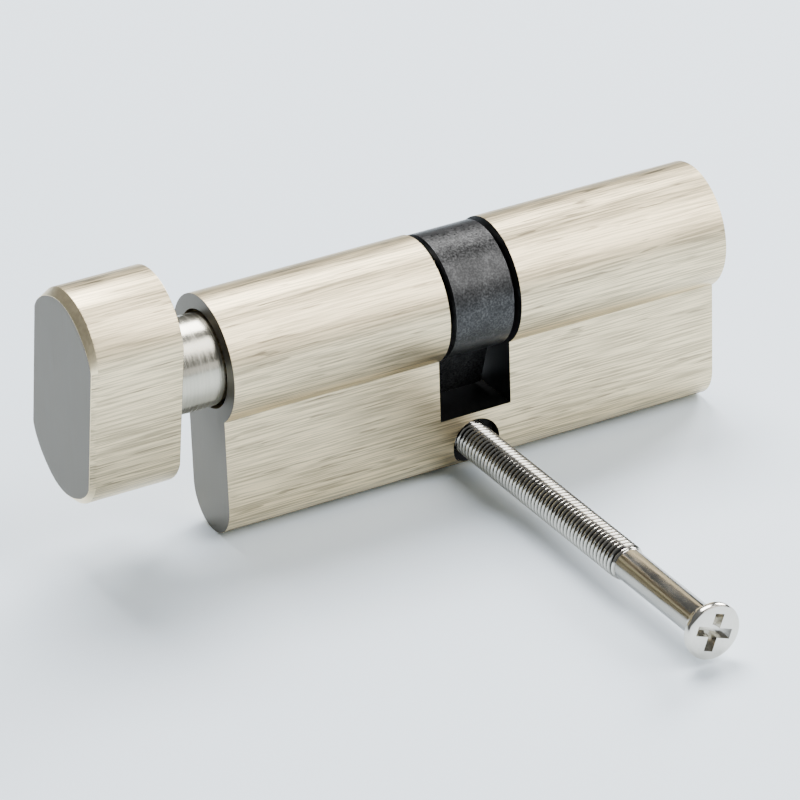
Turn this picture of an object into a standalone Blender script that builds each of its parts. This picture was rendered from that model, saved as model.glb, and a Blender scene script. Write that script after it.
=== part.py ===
"""Euro profile lock cylinder, keyed on one side and with a thumbturn on the other.

Each physical piece is one object. Lengths are metres. The origin is on the plug axis, halfway between
the two ends of the cam gap. +X points to the key end, -Y to the front, where the fixing screw comes
out, and +Z up, so the web of the profile hangs down. The thumbturn is at the -X end.

The pin stacks are drawn at the shear line, as the right key holds them, so the key plug is free to turn.
"""

import math

import bmesh
import bpy

MM = 0.001

# ---------------------------------------------------------------- housing
LOBE_RADIUS = 8.5 * MM
WEB_THICKNESS = 10.0 * MM
PROFILE_HEIGHT = 33.0 * MM
KEY_HALF = 36.0 * MM
KNOB_HALF = 36.0 * MM
CAM_GAP = 10.4 * MM
PLUG_BORE_RADIUS = 6.5 * MM

# ---------------------------------------------------------------- fits
RUNNING = 0.05 * MM
END_PLAY = 0.15 * MM
PRESS_GAP = 0.03 * MM
TIP_CLEARANCE = 0.6 * MM

# ---------------------------------------------------------------- plugs
FLANGE_STEP = 0.6 * MM
FLANGE_THICKNESS = 1.2 * MM
FLANGE_CHAMFER = 0.3 * MM
NOSE_RADIUS = 5.0 * MM
NOSE_END = 1.2 * MM
NECK_STEP = 0.4 * MM
NECK_LENGTH = 7.1 * MM
NECK_DEPTH = 2.0 * MM
STUB_RADIUS = 4.0 * MM
STUB_LENGTH = 8.0 * MM

# ---------------------------------------------------------------- keyway, seen from the key end
KEYWAY_WIDTH = 2.2 * MM
KEYWAY_STEP = 0.9 * MM
KEYWAY_BOTTOM = -4.7 * MM
KEYWAY_TOP = 4.4 * MM
KEYWAY_LENGTH = 28.0 * MM

# ---------------------------------------------------------------- circlips
CIRCLIP_THICKNESS = 0.5 * MM
CIRCLIP_OVERLAP = 0.6 * MM
CIRCLIP_OPENING = math.radians(50)
GROOVE_DEPTH = 0.7 * MM
GROOVE_WIDTH = 0.8 * MM

# ---------------------------------------------------------------- cam
CAM_WIDTH = 8.4 * MM
CAM_INSET = 0.2 * MM
CAM_REACH = 15.0 * MM
CAM_TAB_THICKNESS = 8.1 * MM
CAM_WEB = 2.0 * MM
CAM_REST = math.radians(20)

# ---------------------------------------------------------------- clutch
CLUTCH_WIDTH = 3.1 * MM
CLUTCH_REACH = 1.6 * MM
CLUTCH_PLAY = 0.15 * MM
CLUTCH_THICKNESS = 1.9 * MM
CLUTCH_TONGUE = 2.0 * MM
CLUTCH_SPIGOT_RADIUS = 1.3 * MM
CLUTCH_SPIGOT = 2.6 * MM
CLUTCH_BORE_RADIUS = 2.4 * MM
SPRING_BORE_LENGTH = 8.3 * MM

# ---------------------------------------------------------------- pin stacks
PIN_COUNT = 5
FIRST_PIN = 6.0 * MM
PIN_PITCH = 4.6 * MM
PIN_RADIUS = 1.5 * MM
KEY_PIN_LENGTHS = [5.2 * MM, 4.4 * MM, 5.8 * MM, 4.8 * MM, 5.4 * MM]
KEY_PIN_CONE = 1.1 * MM
DRIVER_LENGTH = 6.0 * MM
PIN_CHAMFER = 0.3 * MM
SHEAR_GAP = 0.1 * MM
PIN_LIFT = 2.2 * MM
CHAMBER_PLUG_LENGTH = 2.4 * MM
CHAMBER_PLUG_RECESS = 0.35 * MM

# ---------------------------------------------------------------- thumbturn
KNOB_THICKNESS = 12.6 * MM
KNOB_WIDTH = 16.2 * MM
KNOB_HEIGHT = 30.0 * MM
KNOB_END_RADIUS = 8.4 * MM
KNOB_CHAMFER = 1.0 * MM
KNOB_REST = math.radians(10)
SOCKET_STEP = 0.5 * MM
SET_SCREW_RADIUS = 2.0 * MM
SET_SCREW_LENGTH = 6.0 * MM
SET_SCREW_SOCKET = 1.15 * MM
SET_SCREW_SOCKET_DEPTH = 2.0 * MM

# ---------------------------------------------------------------- fixing screw
BRIDGE_THICKNESS = 1.0 * MM
THREAD_RADIUS = 2.45 * MM
SHANK_STEP = 0.33 * MM
SCREW_LENGTH = 65.0 * MM
SCREW_OUT = 57.35 * MM
THREAD_OUT = 37.0 * MM
HEAD_STEP = 1.27 * MM
HEAD_RIM = 1.0 * MM
HEAD_CHAMFER = 0.12 * MM
COUNTERBORE_STEP = 0.95 * MM
COUNTERBORE_DEPTH = 1.8 * MM
CROSS_SPAN = 5.0 * MM
CROSS_WIDTH = 1.3 * MM
CROSS_DEPTH = 1.5 * MM
CROSS_TURN = math.radians(21)

# ---------------------------------------------------------------- sizes that follow
WEB_BOTTOM = LOBE_RADIUS - PROFILE_HEIGHT
GAP_HALF = CAM_GAP / 2
GAP_FLOOR = -(CAM_REACH + TIP_CLEARANCE)
PLUG_RADIUS = PLUG_BORE_RADIUS - RUNNING
FLANGE_RADIUS = PLUG_BORE_RADIUS + FLANGE_STEP
NECK_RADIUS = PLUG_RADIUS - NECK_STEP
CIRCLIP_RADIUS = PLUG_BORE_RADIUS + CIRCLIP_OVERLAP
CLUTCH_RADIUS = NOSE_RADIUS + CLUTCH_REACH
CAM_RADIUS = LOBE_RADIUS - CAM_INSET
COUNTERBORE_RADIUS = THREAD_RADIUS + COUNTERBORE_STEP
SCREW_AXIS_DROP = COUNTERBORE_RADIUS + BRIDGE_THICKNESS - GAP_FLOOR
HEAD_RADIUS = THREAD_RADIUS + HEAD_STEP
SHANK_RADIUS = THREAD_RADIUS - SHANK_STEP
PLUG_SHOULDER = GAP_HALF + END_PLAY
CAM_FACE = CAM_WIDTH / 2
CIRCLIP_MIDDLE = (GAP_HALF + CAM_FACE) / 2
GROOVE_RADIUS = NOSE_RADIUS - GROOVE_DEPTH
GROOVE_INNER = CIRCLIP_MIDDLE - GROOVE_WIDTH / 2
GROOVE_OUTER = CIRCLIP_MIDDLE + GROOVE_WIDTH / 2
CLUTCH_SLOT_WIDTH = CLUTCH_WIDTH + 2 * CLUTCH_PLAY
CLUTCH_SLOT_RADIUS = CLUTCH_RADIUS + 2 * CLUTCH_PLAY
CLUTCH_SLOT_END = CLUTCH_THICKNESS / 2 + CLUTCH_TONGUE + CLUTCH_THICKNESS + 3 * CLUTCH_PLAY
TONGUE_RADIUS = GROOVE_RADIUS - CLUTCH_PLAY
KEY_CLUTCH_FACE = CAM_WEB / 2 + CLUTCH_PLAY
KNOB_CLUTCH_FACE = CLUTCH_THICKNESS / 2
CHAMBER_RADIUS = PIN_RADIUS + RUNNING
CHAMBER_X = [KEY_HALF - FIRST_PIN - PIN_PITCH * number for number in range(PIN_COUNT)]
KEY_PIN_BOTTOM = -(PLUG_RADIUS - SHEAR_GAP)
DRIVER_TOP = -(PLUG_BORE_RADIUS + RUNNING)
DRIVER_BOTTOM = DRIVER_TOP - DRIVER_LENGTH
CHAMBER_PLUG_BOTTOM = WEB_BOTTOM + CHAMBER_PLUG_RECESS
CHAMBER_PLUG_TOP = CHAMBER_PLUG_BOTTOM + CHAMBER_PLUG_LENGTH
CHAMBER_TOP = KEY_PIN_BOTTOM + max(KEY_PIN_LENGTHS) + PIN_LIFT + SHEAR_GAP
NECK_INNER_END = -(KNOB_HALF - NECK_DEPTH)
KNOB_REAR = -(KNOB_HALF + NECK_LENGTH)
KNOB_FRONT = KNOB_REAR - KNOB_THICKNESS
NECK_OUTER_END = KNOB_REAR - SOCKET_STEP + END_PLAY
STUB_END = NECK_OUTER_END - STUB_LENGTH
WEB_FACE = WEB_THICKNESS / 2

# ---------------------------------------------------------------- facets
LARGE_STEPS = 40
SMALL_STEPS = 18
SPRING_TURNS = 4
SPRING_STEPS = 6
SPRING_WIRE = 0.2 * MM
SPRING_GAP = 0.05 * MM
MERGE = 0.00001
MERGE_FINE = MERGE / 10
SHARP_ANGLE = 35
WALL_TILT = 0.5
OVERSHOOT = 1.0 * MM
JOIN_OVERLAP = 0.2 * MM

# A piece modelled on local Z lies along X with this turn: local X goes to Y, and local Y to Z.
ALONG_X = (math.pi / 2, 0, math.pi / 2)
# A piece modelled on local Z points to the front, -Y, with this turn: local Y goes to Z.
TO_FRONT = (math.pi / 2, 0, 0)
UPRIGHT = (0, 0, 0)


# ================================================================ scene and materials
def clear_scene():
    """Removes what the scene holds."""
    for item in list(bpy.data.objects):
        bpy.data.objects.remove(item)


def new_collection(name):
    """A collection of this name under the scene."""
    collection = bpy.data.collections.new(name)
    bpy.context.scene.collection.children.link(collection)
    return collection


def metal(name, colour, roughness):
    """A Principled metal."""
    material = bpy.data.materials.new(name)
    material.use_nodes = True
    shader = material.node_tree.nodes["Principled BSDF"]
    shader.inputs["Base Color"].default_value = (*colour, 1)
    shader.inputs["Metallic"].default_value = 1
    shader.inputs["Roughness"].default_value = roughness
    return material


def satin_nickel():
    return metal("satin_nickel", (0.66, 0.62, 0.54), 0.34)


def plated_plug():
    return metal("plated_plug", (0.72, 0.69, 0.62), 0.28)


def black_steel():
    return metal("black_steel", (0.045, 0.047, 0.05), 0.45)


def bright_nickel():
    return metal("bright_nickel", (0.78, 0.76, 0.70), 0.16)


def plain_brass():
    return metal("plain_brass", (0.72, 0.55, 0.26), 0.3)


def spring_steel():
    return metal("spring_steel", (0.55, 0.56, 0.58), 0.3)


# ================================================================ ways of making a piece
def place(item, collection, turn=UPRIGHT, at=(0, 0, 0), parent=None):
    """Puts an object in a collection with its turn, place and parent."""
    collection.objects.link(item)
    item.rotation_euler = turn
    item.location = at
    item.parent = parent
    return item


def pivot(name, collection, turn):
    """An empty on the plug axis, turned about X by the rest angle of what it carries."""
    empty = bpy.data.objects.new(name, None)
    return place(empty, collection, turn=(turn, 0, 0))


def smooth_round(mesh):
    """Smooth shading with the corners kept sharp."""
    mesh.shade_smooth()
    mesh.set_sharp_from_angle(angle=math.radians(SHARP_ANGLE))


def rod(name, radius, low, high, steps):
    """A cylinder on local Z from low to high."""
    shape = bmesh.new()
    bmesh.ops.create_cone(
        shape, cap_ends=True, segments=steps, radius1=radius, radius2=radius, depth=high - low
    )
    bmesh.ops.translate(shape, verts=shape.verts, vec=(0, 0, (high + low) / 2))
    mesh = bpy.data.meshes.new(name)
    shape.to_mesh(mesh)
    shape.free()
    return bpy.data.objects.new(name, mesh)


def box(name, low, high):
    """A box between two corners."""
    shape = bmesh.new()
    bmesh.ops.create_cube(shape, size=1)
    bmesh.ops.scale(shape, verts=shape.verts, vec=[b - a for a, b in zip(low, high)])
    bmesh.ops.translate(shape, verts=shape.verts, vec=[(a + b) / 2 for a, b in zip(low, high)])
    mesh = bpy.data.meshes.new(name)
    shape.to_mesh(mesh)
    shape.free()
    return bpy.data.objects.new(name, mesh)


def turned(name, profile, steps):
    """A turned piece on local Z. The profile lists (radius, height) from the top down its outer side."""
    mesh = bpy.data.meshes.new(name)
    points = [(radius, 0, height) for radius, height in profile]
    mesh.from_pydata(points, [(i, i + 1) for i in range(len(points) - 1)], [])
    item = bpy.data.objects.new(name, mesh)
    lathe = item.modifiers.new("turning", "SCREW")
    lathe.steps = steps
    lathe.render_steps = steps
    lathe.use_merge_vertices = True
    lathe.merge_threshold = MERGE
    lathe.use_smooth_shade = False
    return item


def baked(item):
    """The object with its modifiers or curve made into a plain mesh, its doubles merged."""
    bpy.context.scene.collection.objects.link(item)
    graph = bpy.context.evaluated_depsgraph_get()
    mesh = bpy.data.meshes.new_from_object(item.evaluated_get(graph))
    name = item.name
    bpy.data.objects.remove(item)
    shape = bmesh.new()
    shape.from_mesh(mesh)
    bmesh.ops.remove_doubles(shape, verts=shape.verts, dist=MERGE_FINE)
    shape.to_mesh(mesh)
    shape.free()
    mesh.name = name
    return bpy.data.objects.new(name, mesh)


def plate(name, outline, low, high):
    """A flat outline in local XY with a thickness from low to high on local Z."""
    curve = bpy.data.curves.new(name, "CURVE")
    curve.dimensions = "2D"
    curve.fill_mode = "BOTH"
    curve.extrude = (high - low) / 2
    spline = curve.splines.new("POLY")
    spline.points.add(len(outline) - 1)
    for point, (x, y) in zip(spline.points, outline):
        point.co = (x, y, 0, 1)
    spline.use_cyclic_u = True
    item = baked(bpy.data.objects.new(name, curve))
    for vertex in item.data.vertices:
        vertex.co.z += (high + low) / 2
    return item


def coil(name, radius, wire, low, high, turns, steps):
    """A round wire wound on local Z between low and high."""
    curve = bpy.data.curves.new(name, "CURVE")
    curve.dimensions = "3D"
    curve.bevel_depth = wire
    curve.bevel_resolution = 1
    curve.use_fill_caps = True
    count = turns * steps + 1
    spline = curve.splines.new("POLY")
    spline.points.add(count - 1)
    for number, point in enumerate(spline.points):
        turn = 2 * math.pi * number / steps
        height = low + wire + (high - low - 2 * wire) * number / (count - 1)
        point.co = (radius * math.cos(turn), radius * math.sin(turn), height, 1)
    return bpy.data.objects.new(name, curve)


def arc(radius, start, end, steps, centre=(0, 0)):
    """Points along an arc, from the start angle to the end angle, both included."""
    angles = [start + (end - start) * number / steps for number in range(steps + 1)]
    return [(centre[0] + radius * math.cos(a), centre[1] + radius * math.sin(a)) for a in angles]


def bar_outline(radius, width):
    """A bar through the axis along local Y, its two ends on a circle."""
    reach = math.asin(width / 2 / radius)
    up = arc(radius, math.pi / 2 - reach, math.pi / 2 + reach, 4)
    down = arc(radius, -math.pi / 2 - reach, -math.pi / 2 + reach, 4)
    return up + down


def cut(item, cutter, cutters, turn=UPRIGHT, at=(0, 0, 0), parent=None, way="DIFFERENCE"):
    """Cuts an object with a cutter, or joins one to it, and files the cutter away."""
    place(cutter, cutters, turn, at, parent)
    cutter.hide_render = True
    cutter.display_type = "WIRE"
    step = item.modifiers.new(cutter.name, "BOOLEAN")
    step.operation = way
    step.solver = "EXACT"
    step.object = cutter


def finish(item, material):
    """Gives an object its material."""
    item.data.materials.append(material)
    if item.type == "MESH":
        smooth_round(item.data)
    return item


# ================================================================ housing
def profile_outline():
    """The euro profile: a round lobe on a web with a full round foot."""
    half = WEB_THICKNESS / 2
    side = math.asin(half / LOBE_RADIUS)
    lobe = arc(LOBE_RADIUS, side - math.pi / 2, 3 * math.pi / 2 - side, LARGE_STEPS)
    foot = arc(half, math.pi, 2 * math.pi, SMALL_STEPS, centre=(0, WEB_BOTTOM + half))
    return lobe + foot


def make_housing(parts, cutters, material):
    """The one-piece body: two halves joined by the bridge of the web below the cam gap."""
    body = plate("cylinder_body", profile_outline(), -KNOB_HALF, KEY_HALF)
    place(body, parts, ALONG_X)
    ends = (-KNOB_HALF - OVERSHOOT, KEY_HALF + OVERSHOOT)
    cut(body, rod("plug_bores", PLUG_BORE_RADIUS, *ends, LARGE_STEPS), cutters, ALONG_X)
    seat = rod(
        "flange_seat",
        FLANGE_RADIUS + RUNNING,
        KEY_HALF - FLANGE_THICKNESS - END_PLAY,
        KEY_HALF + OVERSHOOT,
        LARGE_STEPS,
    )
    cut(body, seat, cutters, ALONG_X)
    side = LOBE_RADIUS + OVERSHOOT
    cut(body, box("cam_gap", (-GAP_HALF, -side, GAP_FLOOR), (GAP_HALF, side, side)), cutters)
    for number, x in enumerate(CHAMBER_X, 1):
        drill = rod(
            f"body_chamber_{number}",
            CHAMBER_RADIUS,
            WEB_BOTTOM - OVERSHOOT,
            -PLUG_BORE_RADIUS + OVERSHOOT,
            SMALL_STEPS,
        )
        cut(body, drill, cutters, at=(x, 0, 0))
    hole_at = (0, 0, -SCREW_AXIS_DROP)
    through = WEB_FACE + OVERSHOOT
    hole = rod("fixing_hole", THREAD_RADIUS + RUNNING, -through, through, LARGE_STEPS)
    cut(body, hole, cutters, TO_FRONT, hole_at)
    for name, side in (("front", 1), ("back", -1)):
        reach = sorted((side * (WEB_FACE - COUNTERBORE_DEPTH), side * through))
        mouth = rod(f"fixing_mouth_{name}", COUNTERBORE_RADIUS, *reach, LARGE_STEPS)
        cut(body, mouth, cutters, TO_FRONT, hole_at)
    return finish(body, material)


# ================================================================ plugs
def nose_profile(end, shoulder, side):
    """The turned nose with its circlip groove, from its end towards the shoulder, on one side of the cam."""
    return [
        (0, side * end),
        (NOSE_RADIUS, side * end),
        (NOSE_RADIUS, side * GROOVE_INNER),
        (GROOVE_RADIUS, side * GROOVE_INNER),
        (GROOVE_RADIUS, side * GROOVE_OUTER),
        (NOSE_RADIUS, side * GROOVE_OUTER),
        (NOSE_RADIUS, side * shoulder),
        (PLUG_RADIUS, side * shoulder),
    ]


def cut_clutch_slot(plug, name, low, high, cutters, cam_pivot):
    """The slot across a plug's nose that its clutch slides and drives in."""
    slot = plate(name, bar_outline(CAM_RADIUS, CLUTCH_SLOT_WIDTH), low, high)
    cut(plug, slot, cutters, ALONG_X, parent=cam_pivot)


def keyway_outline():
    """The keyway: a slot that steps to one side and back on its way up."""
    half = KEYWAY_WIDTH / 2
    third = (KEYWAY_TOP - KEYWAY_BOTTOM) / 3
    low_step = KEYWAY_BOTTOM + third
    high_step = KEYWAY_TOP - third
    return [
        (-half, KEYWAY_BOTTOM),
        (half, KEYWAY_BOTTOM),
        (half, low_step),
        (half + KEYWAY_STEP, low_step + KEYWAY_STEP),
        (half + KEYWAY_STEP, high_step - KEYWAY_STEP),
        (half, high_step),
        (half, KEYWAY_TOP),
        (-half, KEYWAY_TOP),
        (-half, high_step),
        (-half + KEYWAY_STEP, high_step - KEYWAY_STEP),
        (-half + KEYWAY_STEP, low_step + KEYWAY_STEP),
        (-half, low_step),
    ]


def make_key_plug(parts, cutters, cam_pivot, material):
    """The keyed plug: flange and keyway at the key end, nose with circlip groove in the cam."""
    nose = nose_profile(NOSE_END, PLUG_SHOULDER, 1)
    profile = [
        (0, KEY_HALF),
        (FLANGE_RADIUS - FLANGE_CHAMFER, KEY_HALF),
        (FLANGE_RADIUS, KEY_HALF - FLANGE_CHAMFER),
        (FLANGE_RADIUS, KEY_HALF - FLANGE_THICKNESS),
        (PLUG_RADIUS, KEY_HALF - FLANGE_THICKNESS),
        *reversed(nose),
    ]
    plug = baked(turned("key_plug", profile, LARGE_STEPS))
    place(plug, parts, ALONG_X)
    keyway_start = KEY_HALF - KEYWAY_LENGTH
    keyway = plate("keyway", keyway_outline(), keyway_start, KEY_HALF + OVERSHOOT)
    cut(plug, keyway, cutters, ALONG_X)
    for number, x in enumerate(CHAMBER_X, 1):
        drill = rod(
            f"plug_chamber_{number}",
            CHAMBER_RADIUS,
            -PLUG_RADIUS - OVERSHOOT,
            CHAMBER_TOP,
            SMALL_STEPS,
        )
        cut(plug, drill, cutters, at=(x, 0, 0))
    bore = rod("key_tip_bore", CLUTCH_BORE_RADIUS, 0, keyway_start + OVERSHOOT, SMALL_STEPS)
    cut(plug, bore, cutters, ALONG_X)
    cut_clutch_slot(plug, "key_nose_slot", 0, CLUTCH_SLOT_END, cutters, cam_pivot)
    return finish(plug, material)


def make_knob_plug(parts, cutters, cam_pivot, knob_pivot, material):
    """The thumbturn's spindle: nose in the cam, bearing in the body, neck, and stub in the knob."""
    profile = [
        *nose_profile(NOSE_END, PLUG_SHOULDER, -1),
        (PLUG_RADIUS, NECK_INNER_END),
        (NECK_RADIUS, NECK_INNER_END),
        (NECK_RADIUS, NECK_OUTER_END),
        (STUB_RADIUS, NECK_OUTER_END),
        (STUB_RADIUS, STUB_END),
        (0, STUB_END),
    ]
    plug = baked(turned("knob_plug", profile, LARGE_STEPS))
    place(plug, parts, ALONG_X, parent=knob_pivot)
    bore_end = -(CLUTCH_SLOT_END + SPRING_BORE_LENGTH)
    bore = rod("spring_bore", CLUTCH_BORE_RADIUS, bore_end, 0, SMALL_STEPS)
    cut(plug, bore, cutters, ALONG_X)
    cut_clutch_slot(plug, "knob_nose_slot", -CLUTCH_SLOT_END, 0, cutters, cam_pivot)
    return finish(plug, material)


def make_circlip(name, side, parts, parent, material):
    """An open ring that snaps into a nose's groove and bears on the wall of the cam gap."""
    inner = GROOVE_RADIUS + 2 * RUNNING
    start = -math.pi / 2 + CIRCLIP_OPENING / 2
    end = 3 * math.pi / 2 - CIRCLIP_OPENING / 2
    outline = arc(CIRCLIP_RADIUS, start, end, LARGE_STEPS // 2)
    outline += arc(inner, end, start, LARGE_STEPS // 2)
    middle = side * CIRCLIP_MIDDLE
    low = middle - CIRCLIP_THICKNESS / 2
    ring = plate(name, outline, low, low + CIRCLIP_THICKNESS)
    place(ring, parts, ALONG_X, parent=parent)
    return finish(ring, material)


# ================================================================ cam and clutch
def cam_outline():
    """The cam's ring with the tab that throws the bolt, hanging straight down."""
    half = CAM_TAB_THICKNESS / 2
    root = math.asin(half / CAM_RADIUS)
    tip = math.asin(half / CAM_REACH)
    ring = arc(CAM_RADIUS, root - math.pi / 2, 3 * math.pi / 2 - root, LARGE_STEPS)
    return ring + arc(CAM_REACH, -math.pi / 2 - tip, -math.pi / 2 + tip, SMALL_STEPS // 4)


def make_cam(parts, cutters, cam_pivot, material):
    """The cam, with slots for the clutches' wings and a groove each side where they turn free."""
    cam = plate("cam", cam_outline(), -CAM_FACE, CAM_FACE)
    place(cam, parts, ALONG_X, parent=cam_pivot)
    reach = (-CAM_FACE - OVERSHOOT, CAM_FACE + OVERSHOOT)
    bore = rod("cam_bore", NOSE_RADIUS + RUNNING, *reach, LARGE_STEPS)
    cut(cam, bore, cutters, ALONG_X, parent=cam_pivot)
    slots = plate("cam_slots", bar_outline(CLUTCH_SLOT_RADIUS, CLUTCH_SLOT_WIDTH), *reach)
    cut(cam, slots, cutters, ALONG_X, parent=cam_pivot)
    near = CAM_WEB / 2
    far = near + CLUTCH_THICKNESS + 2 * CLUTCH_PLAY
    for name, low, high in (("key", near, far), ("knob", -far, -near)):
        groove = rod(f"cam_groove_{name}", CLUTCH_SLOT_RADIUS, low, high, LARGE_STEPS)
        cut(cam, groove, cutters, ALONG_X, parent=cam_pivot)
    return finish(cam, material)


def make_clutch(name, face, side, parts, cutters, cam_pivot, material):
    """A clutch: wings that key into the cam, a tongue in the plug's slot, and a spigot behind it.

    face is where the wings begin, and the tongue and spigot lie beyond them on the given side.
    """

    def span(start, end):
        return sorted((face + side * start, face + side * end))

    wings_end = CLUTCH_THICKNESS
    tongue_end = wings_end + CLUTCH_TONGUE
    spigot_end = tongue_end + CLUTCH_SPIGOT
    clutch = plate(name, bar_outline(CLUTCH_RADIUS, CLUTCH_WIDTH), *span(0, wings_end))
    place(clutch, parts, ALONG_X, parent=cam_pivot)
    tongue = plate(
        f"{name}_tongue",
        bar_outline(TONGUE_RADIUS, CLUTCH_WIDTH),
        *span(wings_end - JOIN_OVERLAP, tongue_end),
    )
    cut(clutch, tongue, cutters, ALONG_X, parent=cam_pivot, way="UNION")
    spigot = rod(
        f"{name}_spigot", CLUTCH_SPIGOT_RADIUS, *span(tongue_end - JOIN_OVERLAP, spigot_end), SMALL_STEPS
    )
    cut(clutch, spigot, cutters, ALONG_X, parent=cam_pivot, way="UNION")
    return finish(clutch, material)


def make_clutch_spring(parts, knob_pivot, material):
    """The spring that pushes both clutches back towards the key end, in the spindle's bore."""
    seat = KNOB_CLUTCH_FACE - CLUTCH_THICKNESS - CLUTCH_TONGUE
    floor = -(CLUTCH_SLOT_END + SPRING_BORE_LENGTH)
    radius = CLUTCH_BORE_RADIUS - SPRING_WIRE - 2 * SPRING_GAP
    spring = coil(
        "clutch_spring",
        radius,
        SPRING_WIRE,
        floor + SPRING_GAP,
        seat - SPRING_GAP,
        SPRING_TURNS,
        SPRING_STEPS,
    )
    place(spring, parts, ALONG_X, parent=knob_pivot)
    return finish(spring, material)


# ================================================================ pin stacks
def make_key_pin(number, x, length, parts, material):
    """A key pin: a flat end with a small chamfer at the shear line, and a cone towards the key."""
    top = KEY_PIN_BOTTOM + length
    profile = [
        (0, top),
        (PIN_RADIUS - KEY_PIN_CONE, top),
        (PIN_RADIUS, top - KEY_PIN_CONE),
        (PIN_RADIUS, KEY_PIN_BOTTOM + PIN_CHAMFER),
        (PIN_RADIUS - 2 * PIN_CHAMFER, KEY_PIN_BOTTOM),
        (0, KEY_PIN_BOTTOM),
    ]
    pin = baked(turned(f"key_pin_{number}", profile, SMALL_STEPS))
    place(pin, parts, at=(x, 0, 0))
    return finish(pin, material)


def make_driver_pin(number, x, parts, material):
    """A driver pin, in the body's chamber at the shear line."""
    profile = [
        (0, DRIVER_TOP),
        (PIN_RADIUS - PIN_CHAMFER, DRIVER_TOP),
        (PIN_RADIUS, DRIVER_TOP - PIN_CHAMFER),
        (PIN_RADIUS, DRIVER_BOTTOM + PIN_CHAMFER),
        (PIN_RADIUS - PIN_CHAMFER, DRIVER_BOTTOM),
        (0, DRIVER_BOTTOM),
    ]
    pin = baked(turned(f"driver_pin_{number}", profile, SMALL_STEPS))
    place(pin, parts, at=(x, 0, 0))
    return finish(pin, material)


def make_pin_spring(number, x, parts, material):
    """The spring below a driver pin."""
    radius = PIN_RADIUS - SPRING_WIRE
    low = CHAMBER_PLUG_TOP + SPRING_GAP
    high = DRIVER_BOTTOM - SPRING_GAP
    name = f"pin_spring_{number}"
    spring = coil(name, radius, SPRING_WIRE, low, high, SPRING_TURNS, SPRING_STEPS)
    place(spring, parts, at=(x, 0, 0))
    return finish(spring, material)


def make_chamber_plug(number, x, parts, material):
    """The plug pressed into the mouth of a chamber, in the foot of the web."""
    radius = CHAMBER_RADIUS - PRESS_GAP
    name = f"chamber_plug_{number}"
    plug = rod(name, radius, CHAMBER_PLUG_BOTTOM, CHAMBER_PLUG_TOP, SMALL_STEPS)
    place(plug, parts, at=(x, 0, 0))
    return finish(plug, material)


# ================================================================ thumbturn
def knob_outline():
    """The knob seen along the axis: flat flanks between two round ends."""
    half = KNOB_WIDTH / 2
    reach = math.asin(half / KNOB_END_RADIUS)
    centre = KNOB_HEIGHT / 2 - KNOB_END_RADIUS
    up = math.pi / 2
    top = arc(KNOB_END_RADIUS, up - reach, up + reach, LARGE_STEPS // 2, centre=(0, centre))
    bottom = arc(KNOB_END_RADIUS, -up - reach, -up + reach, LARGE_STEPS // 2, centre=(0, -centre))
    return top + bottom


def chamfer_face_edge(item, height, width):
    """Chamfers the rim of the flat face at this height on local Z."""
    shape = bmesh.new()
    shape.from_mesh(item.data)
    rim = [
        edge
        for edge in shape.edges
        if all(abs(vertex.co.z - height) < MERGE for vertex in edge.verts)
        and any(abs(face.normal.z) < WALL_TILT for face in edge.link_faces)
    ]
    bmesh.ops.bevel(shape, geom=rim, offset=width, segments=1, affect="EDGES")
    shape.to_mesh(item.data)
    shape.free()


def make_knob(parts, cutters, knob_pivot, material):
    """The thumbturn, with a socket for the spindle and a tapped hole for its set screw."""
    knob = plate("thumbturn_knob", knob_outline(), KNOB_FRONT, KNOB_REAR)
    chamfer_face_edge(knob, KNOB_FRONT, KNOB_CHAMFER)
    place(knob, parts, ALONG_X, parent=knob_pivot)
    recess = rod(
        "neck_recess",
        NECK_RADIUS + RUNNING,
        KNOB_REAR - SOCKET_STEP,
        KNOB_REAR + OVERSHOOT,
        LARGE_STEPS,
    )
    cut(knob, recess, cutters, ALONG_X, parent=knob_pivot)
    socket_end = STUB_END - END_PLAY
    socket = rod("stub_socket", STUB_RADIUS + RUNNING, socket_end, KNOB_REAR, LARGE_STEPS)
    cut(knob, socket, cutters, ALONG_X, parent=knob_pivot)
    hole = rod(
        "set_screw_hole",
        SET_SCREW_RADIUS + RUNNING,
        -KNOB_HEIGHT / 2 - OVERSHOOT,
        -STUB_RADIUS + OVERSHOOT,
        SMALL_STEPS,
    )
    cut(knob, hole, cutters, at=(set_screw_x(), 0, 0), parent=knob_pivot)
    return finish(knob, material)


def set_screw_x():
    """The set screw meets the stub halfway along it."""
    return (NECK_OUTER_END + STUB_END) / 2


def make_set_screw(parts, cutters, knob_pivot, material):
    """The headless screw that clamps the knob on the spindle's stub, with a hexagon socket."""
    top = -(STUB_RADIUS + 2 * RUNNING)
    bottom = top - SET_SCREW_LENGTH
    at = (set_screw_x(), 0, 0)
    screw = rod("knob_set_screw", SET_SCREW_RADIUS, bottom, top, SMALL_STEPS)
    place(screw, parts, at=at, parent=knob_pivot)
    socket = rod(
        "set_screw_socket", SET_SCREW_SOCKET, bottom - OVERSHOOT, bottom + SET_SCREW_SOCKET_DEPTH, 6
    )
    cut(screw, socket, cutters, at=at, parent=knob_pivot)
    return finish(screw, material)


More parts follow.
